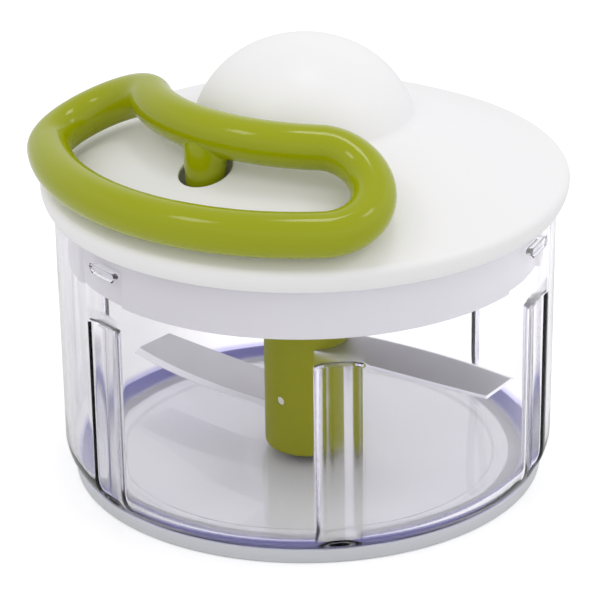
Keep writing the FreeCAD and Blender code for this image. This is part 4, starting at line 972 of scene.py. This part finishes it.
blade_steel = blade_steel_with_highlight()
pin_steel = metal("pin_steel", srgb(205, 204, 206), 0.22, (1, 1, 6))
screw_steel = metal("screw_steel", srgb(190, 190, 192), 0.3)
spring_steel = metal("spring_steel", srgb(150, 155, 165), 0.35, (1, 1, 8))


def braided_cord():
    """Round braid: two sets of slanting strands that cross, from the angle and the height."""
    material, finish = new_finish("braided_cord")
    x, y, z = finish.axes()
    angle = finish.add("ShaderNodeMath", {"operation": "ARCTAN2"},
                       {0: y - float(dock[1]), 1: x - float(dock[0])})
    one = (angle * 4.0 + z * 5.0).math("SINE", angle * 4.0 + z * 5.0)
    other = (angle * 4.0 - z * 5.0).math("SINE", angle * 4.0 - z * 5.0)
    strand = one * other * 0.5 + 0.5
    skin = finish.add("ShaderNodeBsdfPrincipled", inputs={
        "Base Color": finish.blend(strand, srgb(205, 204, 200), srgb(236, 235, 231)),
        "Roughness": 0.75 + 0.1 * strand, "Normal": finish.bump(strand, 0.5, 0.0002)})
    finish.end(skin)
    return material


cord_finish = braided_cord()

# %% Dress every piece
finishes = {
    clear_bowl_finish: [bowl], milky_pad_finish: [pad], cord_finish: [
        cord, nodes["cord_knot"], nodes["cord_run"], nodes["cord_winding"]],
    white_plastic: [lid, well_piece], shaded_cover_plastic: [cover],
    green_plastic: [handle, nodes["stem_plug"]], shaded_post_plastic: [hub],
    blade_steel: [bpy.data.objects["blade_low"], bpy.data.objects["blade_high"]],
    pin_steel: [nodes["bowl_pivot_pin"], nodes["reel_axle"], nodes["axle_washer"],
                nodes["cord_eyelet"]],
    screw_steel: [nodes["lid_screws"], nodes["axle_screw"], nodes["coupler_screws"]],
    spring_steel: [nodes["recoil_spring"]],
    reel_plastic: [nodes["cord_drum"], nodes["spring_cover"], nodes["drive_coupler"],
                   nodes["spring_arbor"]],
    bush_plastic: [nodes["hub_bearing_bush"], nodes["hub_cross_pin"]]}
for material, pieces in finishes.items():
    for piece in pieces:
        piece.data.materials.clear()
        piece.data.materials.append(material)
print("%d finishes on %d pieces" % (len(finishes), sum(map(len, finishes.values()))))

# %% [markdown]
# ## Floor, light and camera
#
# The chopper stands on a plain white floor under a pale, nearly even sky.  The sky is a little
# dimmer straight overhead, so that the sides keep their form, and three small lamps add highlights
# and soft shadows.  The floor would look grey in that light, and brighter lamps would wash out the
# object, so the floor glows a little where the camera looks at it.  Rays that come through the
# clear bowl see this glow too, fading out towards the left, which paints shade on that side of
# the bowl, and mirrored rays see a small share of it.

# %% Floor
FLOOR_RADIUS = 2500.0
floor_piece = piece_from_grids("floor", [spin(
    [(0, -0.02), (FLOOR_RADIUS, -0.02), (FLOOR_RADIUS, -2), (0, -2)], around(64))])
floor_piece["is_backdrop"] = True
floor_material, floor_finish = new_finish("floor_white")
seen = floor_finish.add("ShaderNodeLightPath", output="Is Camera Ray")
through = floor_finish.add("ShaderNodeLightPath", output="Is Transmission Ray")
mirrored = floor_finish.add("ShaderNodeLightPath", output="Is Glossy Ray")
floor_x = floor_finish.axes()[0]
# Seen through the bowl, the glow fades out from x = -15 mm to x = -60 mm: painted shade on the
# bowl's left side.
direct = seen + through * floor_x.step(-60.0, -15.0) + 0.15 * mirrored
matt = floor_finish.add("ShaderNodeBsdfDiffuse", inputs={"Color": (0.8, 0.8, 0.8, 1)})
glow = floor_finish.add("ShaderNodeEmission", inputs={"Strength": direct * 0.37})
floor_finish.end(floor_finish.add("ShaderNodeAddShader", inputs={0: matt, 1: glow}))
floor_piece.data.materials.append(floor_material)

# %% Sky and lamps
world = bpy.data.worlds.new("studio")
bpy.context.scene.world = world
world.use_nodes = True
sky = Finish(world.node_tree)
direction = sky.add("ShaderNodeTexCoord", output="Generated")
right, up = [sky.add("ShaderNodeSeparateXYZ", inputs={"Vector": direction}, output=k)
             for k in (0, 2)]
camera_ray = sky.add("ShaderNodeLightPath", output="Is Camera Ray")
glow_level = 0.95 + 0.12 * up.step(0.2, 0.4) - 0.27 * up.step(0.5, 0.75) + 0.08 * right
sky_level = camera_ray + (1 - camera_ray) * glow_level
sky.end(sky.add("ShaderNodeBackground", inputs={"Color": (1, 1, 1, 1), "Strength": sky_level}),
        "ShaderNodeOutputWorld")


LAMP_AIM = (0, 0, 0.09)


def lamp(name, place, size, watts):
    """A square soft lamp at a place in metres, turned to face the middle of the object."""
    data = bpy.data.lights.new(name, "AREA")
    data.shape = "SQUARE"
    data.size = size
    data.energy = watts
    light = bpy.data.objects.new(name, data)
    light.location = place
    away = np.array(place) - np.array(LAMP_AIM)
    tilt = math.atan2(math.hypot(away[0], away[1]), away[2])
    light.rotation_euler = (tilt, 0, math.atan2(away[1], away[0]) + math.pi / 2)
    bpy.context.scene.collection.objects.link(light)


lamp("top_lamp", (0.05, 0.12, 1.25), 0.27, 1.3)
lamp("right_lamp", (0.75, -0.15, 0.95), 0.23, 0.7)
lamp("left_lamp", (-0.60, -0.35, 0.95), 0.23, 0.8)

# %% Camera
DISTANCE, LOOK_DOWN, AIM_HEIGHT, ROLL = 1.022, math.radians(24.0), 0.0511, math.radians(-0.70)
FOCAL_PIXELS, PICTURE, MIDDLE_X, MIDDLE_Y = 3465.0, 600, 306.4, 299.0
camera_data = bpy.data.cameras.new("camera")
camera_data.sensor_width = 36.0
camera_data.lens = FOCAL_PIXELS / PICTURE * camera_data.sensor_width
camera_data.shift_x = (PICTURE / 2 - MIDDLE_X) / PICTURE
camera_data.shift_y = (MIDDLE_Y - PICTURE / 2) / PICTURE
camera = bpy.data.objects.new("camera", camera_data)
camera.location = (0, -DISTANCE * math.cos(LOOK_DOWN), AIM_HEIGHT + DISTANCE * math.sin(LOOK_DOWN))
camera.rotation_euler = (math.pi / 2 - LOOK_DOWN, 0, 0)
camera.rotation_euler.rotate_axis("Z", ROLL)
bpy.context.scene.collection.objects.link(camera)
bpy.context.scene.camera = camera
bpy.context.scene.view_settings.view_transform = "Standard"
# Light reaches the inside of the bowl through clear walls after it has left a matt surface.  The
# glossy filter makes walls rough for such light and stops most of it, so the filter is off.  Long
# paths are kept for the same reason.
bpy.context.scene.cycles.blur_glossy = 0.0
bpy.context.scene.cycles.max_bounces = 32
bpy.context.scene.cycles.transmission_bounces = 32
print("lens %.1f mm" % camera_data.lens)

# %% Print the two boxes
visual_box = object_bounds()
for label, box in (("cad", cad_box), ("visual", visual_box)):
    print(label, [[round(value / MM, 2) for value in corner] for corner in box])
